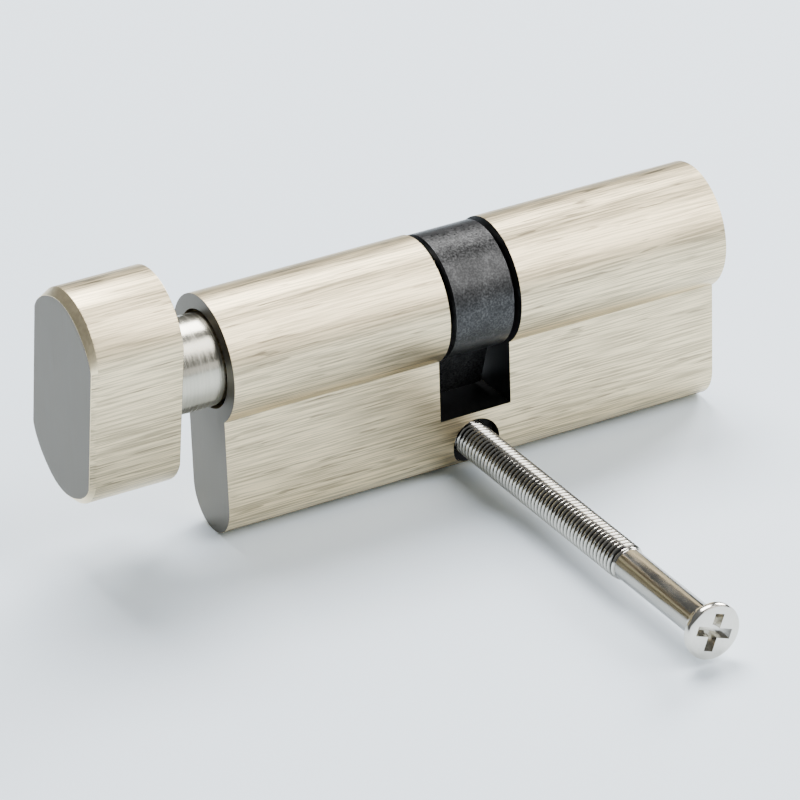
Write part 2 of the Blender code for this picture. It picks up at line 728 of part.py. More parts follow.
# ================================================================ fixing screw
def make_fixing_screw(parts, cutters, material):
    """The long countersunk screw, threaded for most of its length, with a cross recess."""
    face = WEB_FACE + SCREW_OUT
    tip = face - SCREW_LENGTH
    thread_end = WEB_FACE + THREAD_OUT
    run_out = THREAD_RADIUS - SHANK_RADIUS
    cone = HEAD_RADIUS - SHANK_RADIUS
    profile = [
        (0, face),
        (HEAD_RADIUS - HEAD_CHAMFER, face),
        (HEAD_RADIUS, face - HEAD_CHAMFER),
        (HEAD_RADIUS, face - HEAD_RIM),
        (SHANK_RADIUS, face - HEAD_RIM - cone),
        (SHANK_RADIUS, thread_end + run_out),
        (THREAD_RADIUS, thread_end),
        (THREAD_RADIUS, tip + 2 * run_out),
        (THREAD_RADIUS - 2 * run_out, tip),
        (0, tip),
    ]
    screw = baked(turned("fixing_screw", profile, LARGE_STEPS))
    at = (0, 0, -SCREW_AXIS_DROP)
    place(screw, parts, TO_FRONT, at)
    half = CROSS_SPAN / 2
    wide = CROSS_WIDTH / 2
    for number, (x, y) in enumerate(((half, wide), (wide, half)), 1):
        arm = box(f"cross_arm_{number}", (-x, -y, face - CROSS_DEPTH), (x, y, face + OVERSHOOT))
        cut(screw, arm, cutters, (math.pi / 2, CROSS_TURN, 0), at)
    return finish(screw, material)


# ================================================================ the whole cylinder
def main():
    clear_scene()
    parts = new_collection("euro_cylinder")
    cutters = new_collection("cutters")
    cam_pivot = pivot("cam_pivot", parts, CAM_REST)
    knob_pivot = pivot("knob_pivot", parts, KNOB_REST)
    nickel = satin_nickel()
    plug = plated_plug()
    black = black_steel()
    bright = bright_nickel()
    brass = plain_brass()
    steel = spring_steel()
    make_housing(parts, cutters, nickel)
    make_key_plug(parts, cutters, cam_pivot, plug)
    make_knob_plug(parts, cutters, cam_pivot, knob_pivot, plug)
    make_circlip("circlip_key_side", 1, parts, None, steel)
    make_circlip("circlip_knob_side", -1, parts, knob_pivot, steel)
    make_cam(parts, cutters, cam_pivot, black)
    make_clutch("clutch_key_side", KEY_CLUTCH_FACE, 1, parts, cutters, cam_pivot, steel)
    make_clutch("clutch_knob_side", KNOB_CLUTCH_FACE, -1, parts, cutters, cam_pivot, steel)
    make_clutch_spring(parts, knob_pivot, steel)
    for number, (x, length) in enumerate(zip(CHAMBER_X, KEY_PIN_LENGTHS), 1):
        make_key_pin(number, x, length, parts, brass)
        make_driver_pin(number, x, parts, brass)
        make_pin_spring(number, x, parts, steel)
        make_chamber_plug(number, x, parts, brass)
    make_knob(parts, cutters, knob_pivot, nickel)
    make_set_screw(parts, cutters, knob_pivot, black)
    make_fixing_screw(parts, cutters, bright)


main()
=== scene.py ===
"""A euro profile lock cylinder with a thumbturn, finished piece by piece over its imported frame."""

from typing import NamedTuple

import bmesh
import bpy
import numpy as np
from bpy.props import FloatProperty, FloatVectorProperty, IntProperty, PointerProperty
from mathutils import Matrix, Vector


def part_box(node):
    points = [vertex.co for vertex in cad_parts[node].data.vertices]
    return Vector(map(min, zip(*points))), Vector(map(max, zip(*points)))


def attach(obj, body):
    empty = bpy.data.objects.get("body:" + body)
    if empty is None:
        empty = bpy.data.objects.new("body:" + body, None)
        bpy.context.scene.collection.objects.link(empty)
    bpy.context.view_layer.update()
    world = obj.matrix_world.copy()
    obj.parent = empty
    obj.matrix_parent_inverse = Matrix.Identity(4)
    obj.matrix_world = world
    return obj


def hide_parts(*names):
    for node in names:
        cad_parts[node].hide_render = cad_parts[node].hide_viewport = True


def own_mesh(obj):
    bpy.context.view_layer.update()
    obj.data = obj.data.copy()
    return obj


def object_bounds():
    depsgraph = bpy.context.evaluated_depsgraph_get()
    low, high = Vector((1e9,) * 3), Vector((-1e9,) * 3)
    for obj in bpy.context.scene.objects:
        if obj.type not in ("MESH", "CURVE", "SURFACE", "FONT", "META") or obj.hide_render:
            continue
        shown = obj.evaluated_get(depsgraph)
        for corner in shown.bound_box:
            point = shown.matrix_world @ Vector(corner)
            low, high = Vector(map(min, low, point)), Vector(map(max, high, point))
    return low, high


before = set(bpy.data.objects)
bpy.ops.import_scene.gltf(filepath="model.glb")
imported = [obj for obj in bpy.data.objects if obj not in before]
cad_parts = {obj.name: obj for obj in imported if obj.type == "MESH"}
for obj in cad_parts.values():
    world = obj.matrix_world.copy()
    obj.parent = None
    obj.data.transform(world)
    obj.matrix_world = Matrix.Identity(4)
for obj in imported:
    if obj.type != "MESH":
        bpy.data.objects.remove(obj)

bl_info = {
    "name": "Euro Cylinder with Thumbturn",
    "version": (1, 0, 0),
    "blender": (4, 5, 0),
    "location": "View3D > Sidebar > Euro Cylinder",
    "description": "Builds the finished pieces of a euro profile lock cylinder",
    "category": "Add Mesh",
}

MM = 0.001
PIN_NUMBERS = range(1, 6)
ROUND_STEPS = 96
SMALL_ROUND_STEPS = 40
EASE_STEPS = 3
WIRE_STEPS = 12
THREAD_STEPS = 48
SET_SCREW_ROWS = 90
OVERSHOOT = 1.0 * MM
RUNNING = 0.05 * MM
FACE_TILT = 0.97
SMOOTH_ANGLE = float(np.radians(35))
SHORTEST_EDGE = 0.5e-6
KEY_PLUG_EASE = 0.25 * MM
SPINDLE_EASE = 0.2 * MM
CUT_EASE = 0.06 * MM
CLIP_EASE = 0.08 * MM
KEY_PIN_EASE = 0.12 * MM
DRIVER_PIN_EASE = 0.1 * MM
CHAMBER_PLUG_EASE = 0.25 * MM
GRAIN_DEPTH = 0.02 * MM
# Where the fixing screw's painted shade fades out at the head and at the tip.
HEAD_BLEND = 0.5 * MM
TIP_BAND = (0.4 * MM, 0.1 * MM)
# Steps along the screw and off its radius: the head's rounded rim, the rim's edge at the cone, and
# where the cone meets the shank.
RIM_CURVE = np.array([(0.0, -0.35), (0.03, -0.22), (0.12, -0.07), (0.28, 0.0)]) * MM
CONE_EDGE = np.array([(-0.12, 0.0), (0.0, -0.05)]) * MM
SHANK_CURVE = np.array([(-0.4, 0.32), (-0.1, 0.1), (0.4, 0.0)]) * MM
SENSOR_WIDTH = 36.0
NEAR_CLIP = 0.01
LIT_POINT = Vector((0.0, 0.0, -0.01))
FLOOR_SIDE = 3.0
FLOOR_DEPTH = 0.01
FLOOR_GAP = 0.02 * MM


def plain(box):
    """A box's two corners as plain lists."""
    return [[float(value) for value in corner] for corner in box]


def node_box(node):
    """A CAD node's two corners."""
    return plain(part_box(node))


CAD_BOUNDS = plain(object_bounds())
BODY_LOW, BODY_HIGH = node_box("cylinder_body")
KNOB_LOW, KNOB_HIGH = node_box("thumbturn_knob")
CAM_LOW, CAM_HIGH = node_box("cam")
SCREW_LOW, SCREW_HIGH = node_box("fixing_screw")
KEY_PLUG_LOW, KEY_PLUG_HIGH = node_box("key_plug")
KNOB_PLUG_LOW, KNOB_PLUG_HIGH = node_box("knob_plug")
SCREW_AXIS_Z = (SCREW_LOW[2] + SCREW_HIGH[2]) / 2


# ================================================================ sizes and colours
def length(name, description, millimetres):
    """A length that the user may change."""
    return FloatProperty(
        name=name, description=description, default=millimetres * MM, unit="LENGTH", precision=5
    )


def angle(name, description, degrees):
    """An angle that the user may change."""
    return FloatProperty(
        name=name, description=description, default=float(np.radians(degrees)), subtype="ANGLE"
    )


def colour(name, description, default):
    """A linear colour that the user may change."""
    return FloatVectorProperty(
        name=name, description=description, default=default, subtype="COLOR", min=0.0, max=1.0
    )


class EUROCYL_PG_body(bpy.types.PropertyGroup):
    """Sizes of the housing."""

    half_length: length("Half Length", "From the middle of the cam to each end", BODY_HIGH[0] / MM)
    lobe_radius: length("Lobe Radius", "Radius of the round upper part", BODY_HIGH[1] / MM)
    web_thickness: length("Web Thickness", "Thickness of the flat lower part", 10.0)
    gap_width: length("Cam Gap", "Width of the gap that the cam turns in", 10.4)
    gap_floor: length("Gap Depth", "From the axis down to the floor of the gap", 15.6)
    bore_radius: length("Bore Radius", "Radius of the plug bores", 6.5)
    seat_radius: length("Seat Radius", "Radius of the seat of the plug's flange", 7.15)
    seat_depth: length("Seat Depth", "Depth of the seat of the plug's flange", 1.35)
    chamber_radius: length("Chamber Radius", "Radius of the pin chambers", 1.55)
    hole_radius: length("Screw Hole Radius", "Radius of the fixing hole", 2.5)
    mouth_radius: length("Mouth Radius", "Radius of the fixing hole's wide mouth", 3.4)
    mouth_depth: length("Mouth Depth", "Depth of the fixing hole's wide mouth", 1.8)
    edge_round: length("Edge Rounding", "Width of the eased edges", 0.12)


class EUROCYL_PG_plugs(bpy.types.PropertyGroup):
    """Sizes of the two plugs and of the clips that hold them."""

    plug_radius: length("Plug Radius", "Radius of both plugs", 6.45)
    flange_radius: length("Flange Radius", "Radius of the key plug's flange", 7.1)
    flange_thickness: length("Flange Thickness", "Thickness of the flange", 1.2)
    neck_radius: length("Neck Radius", "Radius of the neck behind the thumbturn", 6.05)
    neck_start: length("Neck Start", "Where the neck starts inside the bore", 34.0)
    neck_end: length("Neck End", "Where the neck ends in the thumbturn", 43.45)
    stub_radius: length("Stub Radius", "Radius of the stub in the thumbturn", 4.0)
    nose_radius: length("Nose Radius", "Radius of the noses in the cam", 5.0)
    nose_start: length("Shoulder", "From the middle of the cam to each shoulder", 5.35)
    groove_radius: length("Groove Radius", "Radius of the clip groove's floor", 4.3)
    groove_inner: length("Groove Start", "Near side of the clip groove", 4.3)
    groove_outer: length("Groove End", "Far side of the clip groove", 5.1)
    keyway_width: length("Keyway Width", "Width of the keyway", 2.2)
    keyway_step: length("Keyway Step", "How far the keyway's middle steps aside", 0.9)
    keyway_bottom: length("Keyway Bottom", "Lowest point of the keyway", -4.7)
    keyway_top: length("Keyway Top", "Highest point of the keyway", 4.4)
    keyway_length: length("Keyway Length", "How deep the keyway runs", 28.0)
    bore_radius: length("Clutch Bore Radius", "Radius of the bore for the clutch", 2.4)
    bore_length: length("Clutch Bore Length", "Reach of the key side's bore", 9.0)
    spring_bore_length: length("Spring Bore Length", "Reach of the spring's bore", 13.6)
    slot_width: length("Nose Slot Width", "Width of the slot across each nose", 3.4)
    slot_reach: length("Nose Slot Reach", "Reach of the slots from the middle", 5.3)
    clip_opening: angle("Clip Opening", "Opening of each retaining clip", 50)
    clip_inner: length("Clip Inner Radius", "Inner radius of each retaining clip", 4.4)
    chamber_top: length("Chamber Top", "Top of the key plug's pin chambers", 1.75)
    neck_slope: length("Neck Slope", "Length of the slope down to the neck", 0.4)


class EUROCYL_PG_cam(bpy.types.PropertyGroup):
    """Sizes of the cam."""

    width: length("Width", "Width along the axis", (CAM_HIGH[0] - CAM_LOW[0]) / MM)
    ring_radius: length("Ring Radius", "Outer radius of the ring", CAM_HIGH[2] / MM)
    reach: length("Reach", "From the axis to the end of the tab", 15.0)
    tab_thickness: length("Tab Thickness", "Thickness of the tab", 8.1)
    turn: angle("Rest Turn", "Turn of the tab from straight down", 20)
    bore_radius: length("Bore Radius", "Radius of the bore on the noses", 5.05)
    slot_radius: length("Slot Radius", "Outer radius of the slots and grooves", 6.9)
    slot_width: length("Slot Width", "Width of the driving slots", 3.4)
    groove_inner: length("Groove Start", "Near side of each clutch groove", 1.0)
    groove_outer: length("Groove End", "Far side of each clutch groove", 3.2)
    edge_round: length("Edge Rounding", "Width of the eased edges", 0.18)
    clutch_travel: length("Clutch Travel", "How far the key's tip pushes the clutches", 2.1)


class EUROCYL_PG_knob(bpy.types.PropertyGroup):
    """Sizes of the thumbturn."""

    width: length("Width", "Across the two flat flanks", 16.2)
    height: length("Height", "From end to end", 30.0)
    end_radius: length("End Radius", "Radius of the round ends", 8.4)
    chamfer: length("Chamfer", "Width of the chamfer round the outer face", 1.0)
    chamfer_fade: FloatProperty(
        name="Chamfer Fade", description="Sine of the turn at which the chamfer is full", default=0.7
    )
    flank_share: FloatProperty(
        name="Flank Share", description="Share of the chamfer left on the flanks", default=0.12
    )
    edge_round: length("Edge Rounding", "Width of the eased edges", 0.1)
    turn: angle("Rest Turn", "Turn of the thumbturn from upright", 10)
    socket_radius: length("Socket Radius", "Radius of the spindle's socket", 4.05)
    socket_end: length("Socket End", "Where the spindle's socket ends", -51.6)
    recess_radius: length("Recess Radius", "Radius of the recess round the neck", 6.1)
    recess_depth: length("Recess Depth", "Depth of the recess round the neck", 0.5)
    inner_face: length("Inner Face", "Width of the flat ring on the inner face", 1.0)
    hole_end: length("Set Screw Hole End", "Where the set screw's hole ends", -3.0)
    set_screw_radius: length("Set Screw Radius", "Radius of the set screw", 2.0)
    set_screw_x: length("Set Screw Place", "Where the set screw stands", -47.45)
    set_screw_top: length("Set Screw Top", "Top of the set screw", -4.1)
    set_screw_bottom: length("Set Screw Bottom", "Bottom of the set screw", -10.1)
    set_screw_pitch: length("Set Screw Pitch", "Pitch of the set screw's thread", 0.7)
    set_screw_rim: length("Set Screw Rim", "Chamfer and thread depth of the set screw", 0.3)
    hexagon_radius: length("Hexagon Radius", "Corner radius of the hexagon socket", 1.15)
    hexagon_depth: length("Hexagon Depth", "Depth of the hexagon socket", 2.0)


class EUROCYL_PG_screw(bpy.types.PropertyGroup):
    """Sizes of the fixing screw."""

    head_radius: length("Head Radius", "Radius of the head", 3.72)
    head_rim: length("Head Rim", "Height of the rim above the cone", 1.0)
    # The head is left out of the screw's painted shade.
    bright_head: length("Bright Head", "Length of the head that stays bright", 3.0)
    shank_radius: length("Shank Radius", "Radius of the plain shank", 2.12)
    thread_radius: length("Thread Radius", "Radius of the thread's crests", 2.45)
    thread_depth: length("Thread Depth", "Depth of the thread", 0.49)
    thread_length: length("Thread Length", "Length of the thread", 44.65)
    blunt: length("Blunt Tip", "Length of the tip's chamfer", 0.7)
    pitch: length("Pitch", "Pitch of the thread", 0.8)
    recess_span: length("Recess Span", "Span of the cross recess", 5.0)
    recess_width: length("Recess Width", "Width of the cross recess's arms", 1.3)
    recess_depth: length("Recess Depth", "Depth of the cross recess", 1.5)
    recess_turn: angle("Recess Turn", "Turn of the cross recess", 21)


class EUROCYL_PG_pins(bpy.types.PropertyGroup):
    """Sizes of the pin stacks."""

    pin_radius: length("Pin Radius", "Radius of the pins", 1.5)
    cone: length("Cone", "Height of a key pin's cone", 1.1)
    tip_radius: length("Tip Radius", "Radius of a key pin's tip", 0.5)
    chamfer: length("Chamfer", "Chamfer at the ends of a driver pin", 0.3)
    waist: length("Waist", "Depth of a driver pin's waist", 0.35)
    foot: length("Foot", "Height of the rounding at a key pin's foot", 0.2)
    waist_outer: length("Waist Reach", "From a driver pin's middle to its waist's ends", 1.2)
    waist_inner: length("Waist Floor", "From its middle to its waist floor's ends", 0.8)
    lift: length("Lift", "How far a driver pin goes down", 1.2)
    wire_radius: length("Wire Radius", "Radius of the spring wire", 0.2)
    turns: IntProperty(name="Turns", description="Turns of each pin spring", default=9)


class EUROCYL_PG_finish(bpy.types.PropertyGroup):
    """Colours of the metals."""

    satin: colour("Satin Nickel", "Brushed nickel of the body and thumbturn", (0.76, 0.635, 0.41))
    # A far darker nickel than the sides: painted shade on the faces that look along X.
    end_face: colour("End Faces", "Nickel of the ends and the thumbturn's face", (0.132, 0.12, 0.097))
    neck: colour("Turned Nickel", "Nickel of the plugs and the neck", (0.54, 0.51, 0.42))
    # A little darker, this black also paints shade on the walls of the cam gap and the fixing hole.
    black: colour("Black Steel", "Oxide black of the cam and set screw", (0.035, 0.035, 0.035))
    bright: colour("Bright Nickel", "Bright nickel of the fixing screw", (0.71, 0.68, 0.61))
    steel: colour("Steel", "Plain steel of springs, clips and clutches", (0.5, 0.5, 0.5))
    brass: colour("Brass", "Brass of the pins", (0.7, 0.5, 0.22))


class EUROCYL_PG_stage(bpy.types.PropertyGroup):
    """Camera, floor and lights."""

    azimuth: angle("Azimuth", "Turn of the camera from straight in front", -28.08)
    elevation: angle("Elevation", "Height of the camera above the horizon", 27.63)
    roll: angle("Roll", "Roll of the camera", -2.07)
    distance: length("Distance", "From the camera to the point it aims at", 621.5)
    lens: FloatProperty(name="Lens", description="Focal length in millimetres", default=217.94)
    aim: FloatVectorProperty(
        name="Aim",
        description="Point that the camera looks at",
        default=(-9.543 * MM, -2.228 * MM, -12.338 * MM),
        subtype="TRANSLATION",
    )
    floor: colour("Floor", "Colour of the floor", (0.79, 0.885, 0.975))
    sky: colour("Room", "Colour of the room's even light", (0.92, 0.96, 1.0))
    sky_strength: FloatProperty(name="Room Light", description="Strength", default=0.2)


class EUROCYL_PG_settings(bpy.types.PropertyGroup):
    """All settings of the cylinder."""

    body: PointerProperty(type=EUROCYL_PG_body)
    plugs: PointerProperty(type=EUROCYL_PG_plugs)
    cam: PointerProperty(type=EUROCYL_PG_cam)
    knob: PointerProperty(type=EUROCYL_PG_knob)
    screw: PointerProperty(type=EUROCYL_PG_screw)
    pins: PointerProperty(type=EUROCYL_PG_pins)
    finish: PointerProperty(type=EUROCYL_PG_finish)
    stage: PointerProperty(type=EUROCYL_PG_stage)


def settings():
    """The cylinder's settings."""
    return bpy.context.scene.euro_cylinder


# ================================================================ surfaces
def arc(radius, start, end, steps, centre=(0.0, 0.0)):
    """Points on a circle: the centre plus the radius times cosine and sine of even angles."""
    turn = np.linspace(start, end, steps + 1)
    return np.stack([radius * np.cos(turn), radius * np.sin(turn)], axis=1) + np.array(centre)


def eased(corners, reach, closed=False):
    """An outline with its corners rounded.

    Each corner becomes a short quadratic curve, from a point this far before the corner to one
    this far after it, with the corner as the curve's pull point."""
    corners = np.asarray(corners, dtype=float)
    before = np.roll(corners, 1, axis=0) - corners
    after = np.roll(corners, -1, axis=0) - corners
    before_length = np.linalg.norm(before, axis=1, keepdims=True)
    after_length = np.linalg.norm(after, axis=1, keepdims=True)
    start = corners + before / before_length * np.minimum(reach, 0.45 * before_length)
    end = corners + after / after_length * np.minimum(reach, 0.45 * after_length)
    step = np.linspace(0, 1, EASE_STEPS + 1)[None, :, None]
    pull = corners[:, None, :]
    curve = (1 - step) ** 2 * start[:, None] + 2 * step * (1 - step) * pull + step**2 * end[:, None]
    if closed:
        return curve.reshape(-1, corners.shape[1])
    inner = curve[1:-1].reshape(-1, corners.shape[1])
    return np.concatenate([corners[:1], inner, corners[-1:]])


def turned_about_x(points, turn):
    """Points turned about the X axis: y and z mixed by cosine and sine of the turn."""
    y, z = points[..., 1], points[..., 2]
    turned_y = y * np.cos(turn) - z * np.sin(turn)
    turned_z = y * np.sin(turn) + z * np.cos(turn)
    return np.stack([points[..., 0], turned_y, turned_z], axis=-1)


def along_x(outline, xs):
    """An outline in Y and Z carried along X: each ring is the outline at one x."""
    outline = np.broadcast_to(outline, (len(xs), *outline.shape[-2:]))
    xs = np.broadcast_to(np.asarray(xs, dtype=float)[:, None, None], (*outline.shape[:2], 1))
    return np.concatenate([xs, outline], axis=2)


def lathe(profile, steps=ROUND_STEPS):
    """A surface of revolution about X: (x, r) goes to (x, r cos a, r sin a)."""
    profile = np.asarray(profile, dtype=float)
    turn = np.linspace(0, 2 * np.pi, steps, endpoint=False)[None, :]
    x = np.broadcast_to(profile[:, :1], (len(profile), steps))
    r = profile[:, 1:]
    return np.stack([x, r * np.cos(turn), r * np.sin(turn)], axis=-1)


def x_to_z(points, at=(0.0, 0.0, 0.0)):
    """A shape made along X stood up along Z: (x, y, z) goes to (z, y, x), then to its place."""
    return points[..., ::-1] + np.array(at)


def x_to_y(points, at=(0.0, 0.0, 0.0)):
    """A shape made along X laid along Y: (x, y, z) goes to (y, x, z), then to its place."""
    return points[..., [1, 0, 2]] + np.array(at)


def shell(name, rings):
    """A closed mesh from rings of points, with a flat face on its first and last ring.

    Ring i's point j is joined to its neighbours on the ring and to point j of ring i + 1."""
    rows, columns = rings.shape[:2]
    row = np.arange(rows - 1)[:, None] * columns
    here = np.arange(columns)[None, :]
    there = (here + 1) % columns
    sides = np.stack([row + here, row + there, row + columns + there, row + columns + here], -1)
    ends = [list(range(columns))[::-1], list(range((rows - 1) * columns, rows * columns))]
    mesh = bpy.data.meshes.new(name)
    mesh.from_pydata(rings.reshape(-1, 3), [], sides.reshape(-1, 4).tolist() + ends)
    tidy_mesh(mesh)
    piece = bpy.data.objects.new(name, mesh)
    bpy.context.scene.collection.objects.link(piece)
    return piece


def tidy_mesh(mesh):
    """Merges doubles, turns the faces outwards and shades the mesh smooth between its edges."""
    shape = bmesh.new()
    shape.from_mesh(mesh)
    bmesh.ops.remove_doubles(shape, verts=shape.verts, dist=SHORTEST_EDGE)
    bmesh.ops.dissolve_degenerate(shape, edges=shape.edges, dist=SHORTEST_EDGE)
    bmesh.ops.recalc_face_normals(shape, faces=shape.faces)
    shape.to_mesh(mesh)
    shape.free()
    mesh.shade_smooth()
    mesh.set_sharp_from_angle(angle=SMOOTH_ANGLE)


def settle(piece):
    """Turns a piece's modifiers into plain mesh."""
    depsgraph = bpy.context.evaluated_depsgraph_get()
    mesh = bpy.data.meshes.new_from_object(piece.evaluated_get(depsgraph))
    worn_out = piece.data
    piece.modifiers.clear()
    piece.data = mesh
    bpy.data.meshes.remove(worn_out)


def cut(piece, cutters):
    """Takes each cutter out of the piece and removes the cutter."""
    for cutter in cutters:
        take = piece.modifiers.new("cut", "BOOLEAN")
        take.operation = "DIFFERENCE"
        take.solver = "EXACT"
        take.object = cutter
    settle(piece)
    tidy_mesh(piece.data)
    for cutter in cutters:
        bpy.data.objects.remove(cutter)


def ease_edges(piece, width, edge_slot=0):
    """Rounds every sharp edge, and gives the rounding the finish in this slot."""
    piece.data.shade_smooth()
    bevel = piece.modifiers.new("eased_edges", "BEVEL")
    bevel.width = width
    bevel.segments = 2
    bevel.limit_method = "ANGLE"
    bevel.angle_limit = SMOOTH_ANGLE
    bevel.harden_normals = True
    bevel.material = edge_slot
    settle(piece)


def finish_faces(piece, side, end="", edge="", inner=""):
    """Gives a piece its finishes: on its sides, on flat faces square to X, on eased edges, inside; the
    darker ends and the black inside are painted shade.
    """
    for name in (side, end or side, edge or side, inner)[: 4 if inner else 3]:
        piece.data.materials.append(finish(name))


def mark_faces(piece, slot, chosen):
    """Gives some faces the finish in a slot.

    They are picked by a test of their normals, their centres and the slots that they have."""
    count = len(piece.data.polygons)
    normals = np.zeros(count * 3)
    centres = np.zeros(count * 3)
    slots = np.zeros(count, dtype=np.int32)
    piece.data.polygons.foreach_get("normal", normals)
    piece.data.polygons.foreach_get("center", centres)
    piece.data.polygons.foreach_get("material_index", slots)
    slots[chosen(normals.reshape(-1, 3), centres.reshape(-1, 3), slots)] = slot
    piece.data.polygons.foreach_set("material_index", slots)


def mark_painted_shade_ends(piece):
    """Gives the faces that look along X the second finish, unless they are eased edges: a darker copy
    of the nickel that paints shade on them.
    """
    mark_faces(piece, 1, lambda normal, centre, slot: (np.abs(normal[:, 0]) > FACE_TILT) & (slot == 0))


def mark_painted_shade_walls(piece, sizes):
    """Gives the walls of the cam gap and of the fixing hole the fourth finish, a black that paints
    shade on the nickel there.
    """

    def inner(normal, centre, slot):
        x, y, z = centre.T
        in_gap = np.abs(x) < sizes.gap_width / 2 + SHORTEST_EDGE
        in_gap &= z > -sizes.gap_floor - SHORTEST_EDGE
        in_hole = np.hypot(x, z - SCREW_AXIS_Z) < sizes.mouth_radius + SHORTEST_EDGE
        in_hole &= np.abs(y) < sizes.web_thickness / 2 - sizes.edge_round
        return (in_gap | in_hole) & (slot != 2)

    mark_faces(piece, 3, inner)


def fit(piece, body, node):
    """Makes a piece stand for its CAD node and move with its body."""
    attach(piece, body)
    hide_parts(node)


def rod_along_x(name, radius, low, high):
    """A plain round rod along X."""
    return shell(name, lathe([(low, radius), (high, radius)]))


def rod_along_y(name, radius, low, high, at):
    """A plain round rod along Y."""
    return shell(name, x_to_y(lathe([(low, radius), (high, radius)]), at))


def rod_along_z(name, radius, low, high, at):
    """A plain round rod along Z, with fewer steps."""
    return shell(name, x_to_z(lathe([(low, radius), (high, radius)], SMALL_ROUND_STEPS), at))


def block(name, low, high):
    """A plain block between two corners."""
    outline = [(low[1], low[2]), (high[1], low[2]), (high[1], high[2]), (low[1], high[2])]
    return shell(name, along_x(np.array(outline), (low[0], high[0])))


# ================================================================ finishes
def new_finish(name):
    """An empty metal with its shader, and the piece's own coordinates."""
    material = bpy.data.materials.new(f"{name}_finish")
    material.use_nodes = True
    tree = material.node_tree
    shader = tree.nodes["Principled BSDF"]
    shader.inputs["Metallic"].default_value = 1.0
    place = tree.nodes.new("ShaderNodeTexCoord").outputs["Object"]
    return material, tree, shader, place


def grain(tree, place, scale, detail=4.0, distortion=0.0):
    """Noise on the piece's coordinates, stretched by a scale for each axis, in turns a metre."""
    stretch = tree.nodes.new("ShaderNodeMapping")
    stretch.inputs["Scale"].default_value = scale
    noise = tree.nodes.new("ShaderNodeTexNoise")
    noise.inputs["Scale"].default_value = 1.0
    noise.inputs["Detail"].default_value = detail
    noise.inputs["Distortion"].default_value = distortion
    tree.links.new(place, stretch.inputs["Vector"])
    tree.links.new(stretch.outputs["Vector"], noise.inputs["Vector"])
    return noise.outputs["Fac"]


def spread(tree, value, low, high, to_low, to_high):
    """A value moved from one range to another, and kept inside it."""
    ranged = tree.nodes.new("ShaderNodeMapRange")
    ranged.inputs["From Min"].default_value = low
    ranged.inputs["From Max"].default_value = high
    ranged.inputs["To Min"].default_value = to_low
    ranged.inputs["To Max"].default_value = to_high
    tree.links.new(value, ranged.inputs["Value"])
    return ranged.outputs["Result"]


def shade(tree, value, dark, light, low=0.3, high=0.7):
    """A colour that goes from dark to light with a value."""
    ramp = tree.nodes.new("ShaderNodeValToRGB")
    ramp.color_ramp.elements[0].position = low
    ramp.color_ramp.elements[1].position = high
    ramp.color_ramp.elements[0].color = (*dark, 1.0)
    ramp.color_ramp.elements[1].color = (*light, 1.0)
    tree.links.new(value, ramp.inputs["Fac"])
    return ramp.outputs["Color"]


def multiplied(tree, first, second):
    """Two colours multiplied."""
    mix = tree.nodes.new("ShaderNodeMix")
    mix.data_type = "RGBA"
    mix.blend_type = "MULTIPLY"
    mix.inputs["Factor"].default_value = 1.0
    colours_in = [socket for socket in mix.inputs if socket.type == "RGBA"]
    tree.links.new(first, colours_in[0])
    tree.links.new(second, colours_in[1])
    return next(socket for socket in mix.outputs if socket.type == "RGBA")


def added(tree, first, second):
    """The sum of two values."""
    total = tree.nodes.new("ShaderNodeMath")
    total.operation = "ADD"
    tree.links.new(first, total.inputs[0])
    tree.links.new(second, total.inputs[1])
    return total.outputs["Value"]


def raise_grain(tree, shader, height, strength, depth=GRAIN_DEPTH):
    """Turns a height into fine relief on the shader."""
    bump = tree.nodes.new("ShaderNodeBump")
    bump.inputs["Strength"].default_value = strength
    bump.inputs["Distance"].default_value = depth
    tree.links.new(height, bump.inputs["Height"])
    tree.links.new(bump.outputs["Normal"], shader.inputs["Normal"])


def scaled(tint, share):
    """A colour made darker or lighter."""
    return tuple(min(1.0, share * part) for part in tint)


class Brushing(NamedTuple):
    """How one metal is brushed.

    Its colour is a share of one of the settings' colours. The strokes, the broad streaks and the
    sparse scratches are in turns a metre along X, Y and Z, and are long where that is low."""

    colour: str
    share: float
    strokes: tuple
    streaks: tuple
    rough: float
    contrast: float
    relief: float
    streak_share: float = 0.5
    scratches: tuple = ()


BRUSHED = {
    "satin_nickel": Brushing(
        "satin", 1.0, (110, 4600, 4600), (45, 1500, 1500), 0.36, 0.4, 0.8, 0.2, (150, 2100, 2100)
    ),
    # Painted shade: a much darker copy of the nickel for the faces that look along X, over real
    # upright brushing.
    "end_nickel": Brushing("end_face", 1.0, (4000, 4000, 120), (900, 900, 50), 0.42, 0.12, 0.2),
    "worn_edge": Brushing("satin", 1.3, (2500,) * 3, (300,) * 3, 0.34, 0.05, 0.05),
    "turned_nickel": Brushing("neck", 1.0, (5000, 120, 120), (1200, 40, 40), 0.22, 0.1, 0.1),
    # Painted shade: a near-black copy for the nickel walls inside the cam gap and the fixing hole.
    "dark_wall": Brushing("black", 0.9, (2600,) * 3, (500,) * 3, 0.5, 0.3, 0.3),
    "rubbed_black": Brushing("black", 4.5, (3500,) * 3, (700,) * 3, 0.32, 0.35, 0.2),
    "plain_steel": Brushing("steel", 1.0, (4200, 1600, 1600), (800, 500, 500), 0.28, 0.2, 0.12),
    "turned_brass": Brushing("brass", 1.0, (300, 300, 6000), (90, 90, 1500), 0.26, 0.14, 0.15),
}


